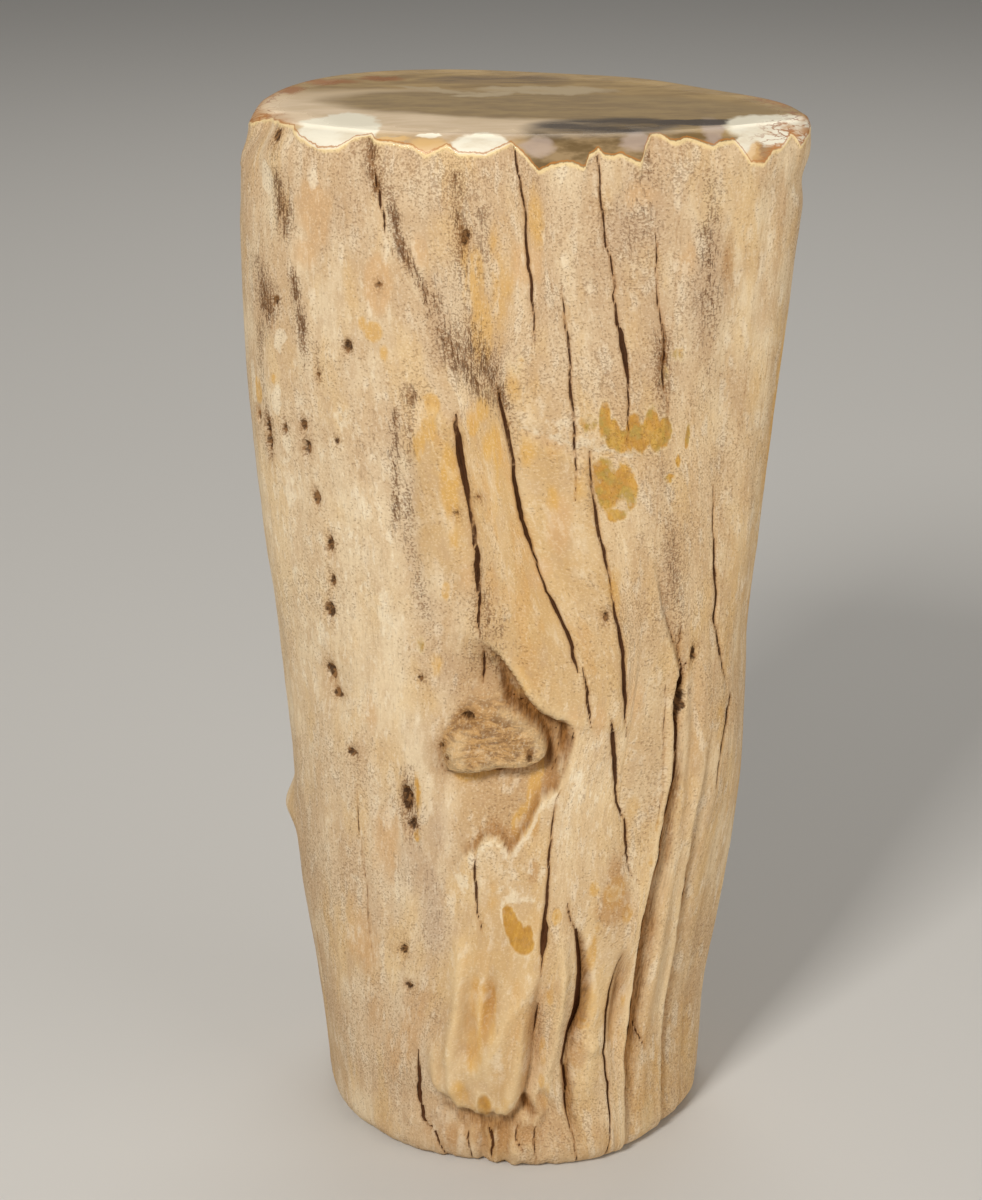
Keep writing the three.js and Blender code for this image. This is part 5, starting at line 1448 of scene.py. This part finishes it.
    def whites(self, colour):
        """White zones, lighter on the plane, which mirrors the dimmer room, and tan spots."""
        white = self.near((-22.5, -11), (5, 10), -8, 0.15)
        white = white.most(self.near((-21.6, -9.5), (3.2, 4.4), -10, 0.15))
        places = (((-11, -13.8), (1.5, 1.2)), ((-5, -18.5), (3.2, 5)),
                  ((30.8, -9), (6.6, 7)), ((26.8, -21), (1.5, 8)))
        for at, reach in places:
            white = white.most(self.near(at, reach, 0, 0.25))
        tint = self.mix(self.cloud.step(0.42, 0.7), (235, 229, 210), (222, 210, 186))
        tint = self.mix((self.up - HEIGHT).step(-0.4, -0.05), tint, (255, 247, 222))
        colour = self.mix(white * 0.95, colour, tint)
        tan = (((-11.5, -18.5), (2.6, 3.4)), ((27.9, -19.5), (1, 4.6)), ((-15.5, -15), (2.2, 1)))
        return self.spots(colour, tan, 0.6, 0.7, (220, 180, 118))

    def rim(self, colour):
        """Rust veins and stains at both ends, then an orange line inside a cream rind."""
        from_rim = self.tone("from_rim")
        veins = self.speckle(self.shaken(self.flat, 1.5, 1), 2.4, 3)
        line = 1 - ((veins - 0.5).size() / 0.035).step(0.3, 1)
        ends = self.x.step(26, 31).most(1 - self.x.step(-33, -27))
        rust = ends * (1 - from_rim.step(0.6, 3.4)) * self.cloud.step(0.42, 0.56)
        left = (1 - self.x.step(-31, -27)) * (1 - from_rim.step(1.4, 3.4)) * self.y.step(-12, -8)
        rust = rust.most(left * (0.5 + self.cloud.step(0.4, 0.6) * 0.5))
        ragged = self.speckle(self.here, 0.9, 3, 0.7)
        uneven = from_rim + (ragged - 0.5) * 0.7 + (self.cloud - 0.5) * 0.5
        orange = 1 - ((uneven - 0.3 - self.cloud * 0.2).size() / 0.16).step(0.3, 1)
        self.rind = 1 - uneven.step(0.08, 0.3)
        return self.coats(
            colour,
            (line * ends * (1 - from_rim.step(2.5, 6)) * 0.75, (146, 80, 24)),
            (rust * 0.75, (176, 108, 16)),
            (orange * 0.75, (178, 116, 52)),
            (self.rind * 0.85, (238, 212, 160)),
        )

    def make(self):
        """All the zones, glossy in the middle and duller near the rim."""
        colour = self.rim(self.whites(self.front(self.back())))
        dull = self.rind * 0.2 + (1 - self.tone("from_rim").step(3, 7)) * 0.22
        roughness = (0.14 + dull + (self.streaky - 0.5) * 0.05).held()
        relief = self.bump(self.speckle(self.here, 5), 0.00004, 0.5)
        gloss = {"Specular_IOR_Level": 0.22, "Coat_Weight": 0.06, "Coat_Roughness": 0.05}
        return self.finish(colour, roughness, Normal=relief, **gloss)


def sawn_base():
    """The sawn base: dull stone in soft zones with faint saw lines."""
    sheet = Sheet("sawn_base")
    here = sheet.place()
    cloud = sheet.speckle(here, 6, 4, 0.6)
    saw = sheet.speckle(sheet.scaled(here, (0.05, 1.6, 1)), 1)
    colour = sheet.mix(cloud.step(0.35, 0.65), (196, 172, 138), (158, 132, 100))
    colour = sheet.mix(saw.step(0.55, 0.75) * 0.2, colour, (128, 104, 78))
    relief = sheet.bump(saw, 0.0001, 0.6)
    return sheet.finish(colour, (0.55 + cloud * 0.2).held(), Normal=relief)


def make_floor():
    """A wide pale floor at the object's foot."""
    reach = 3.0
    mesh = bpy.data.meshes.new("floor")
    corners = [(-reach, -reach, 0), (reach, -reach, 0), (reach, reach, 0), (-reach, reach, 0)]
    mesh.from_pydata(corners, [], [(0, 1, 2, 3)])
    mesh.materials.append(Sheet("pale_floor").finish(linear(205, 203, 199), 0.7))
    add_object("floor", mesh)


def make_light(name, size, power, place_m, colour):
    """A square soft light at a place in metres, turned to the middle of the limb."""
    data = bpy.data.lights.new(name, "AREA")
    data.size = size
    data.energy = power
    data.color = colour
    light = add_object(name, data)
    aim = np.array((0, 0, HEIGHT * MM / 2)) - np.array(place_m)
    flat = math.hypot(aim[0], aim[1])
    light.location = place_m
    light.rotation_euler = (math.pi / 2 + math.atan2(aim[2], flat), 0, math.atan2(-aim[0], aim[1]))


def make_studio():
    """A warm key from the upper left in front, a low fill from the right, a soft light from behind."""
    make_light("key", 0.16, 3.95, (-0.26, -0.5, 0.52), (1.0, 0.97, 0.925))
    make_light("fill", 0.6, 3.1, (0.62, -0.4, 0.12), (1.0, 0.965, 0.91))
    make_light("top", 0.5, 1.4, (0.05, 0.5, 0.6), (1.0, 0.97, 0.92))
    world = bpy.data.worlds.new("room")
    world.use_nodes = True
    background = world.node_tree.nodes["Background"]
    background.inputs["Color"].default_value = (1.0, 0.975, 0.94, 1)
    background.inputs["Strength"].default_value = 0.2
    bpy.context.scene.world = world
    bpy.context.scene.view_settings.view_transform = "Standard"


def make_camera():
    """In front of the limb, a little above it, looking down."""
    data = bpy.data.cameras.new("camera")
    data.lens = CAMERA_LENS
    data.sensor_width = SENSOR
    camera = add_object("camera", data)
    camera.location = [c * MM for c in CAMERA_PLACE]
    camera.rotation_euler = (math.radians(90 - CAMERA_DOWN), 0, 0)
    bpy.context.scene.camera = camera


make_camera()
make_studio()
make_floor()
limb = make_limb([WeatheredWood().make(), PolishedTop().make(), sawn_base()])
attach(limb, "root")
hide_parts(NODE)
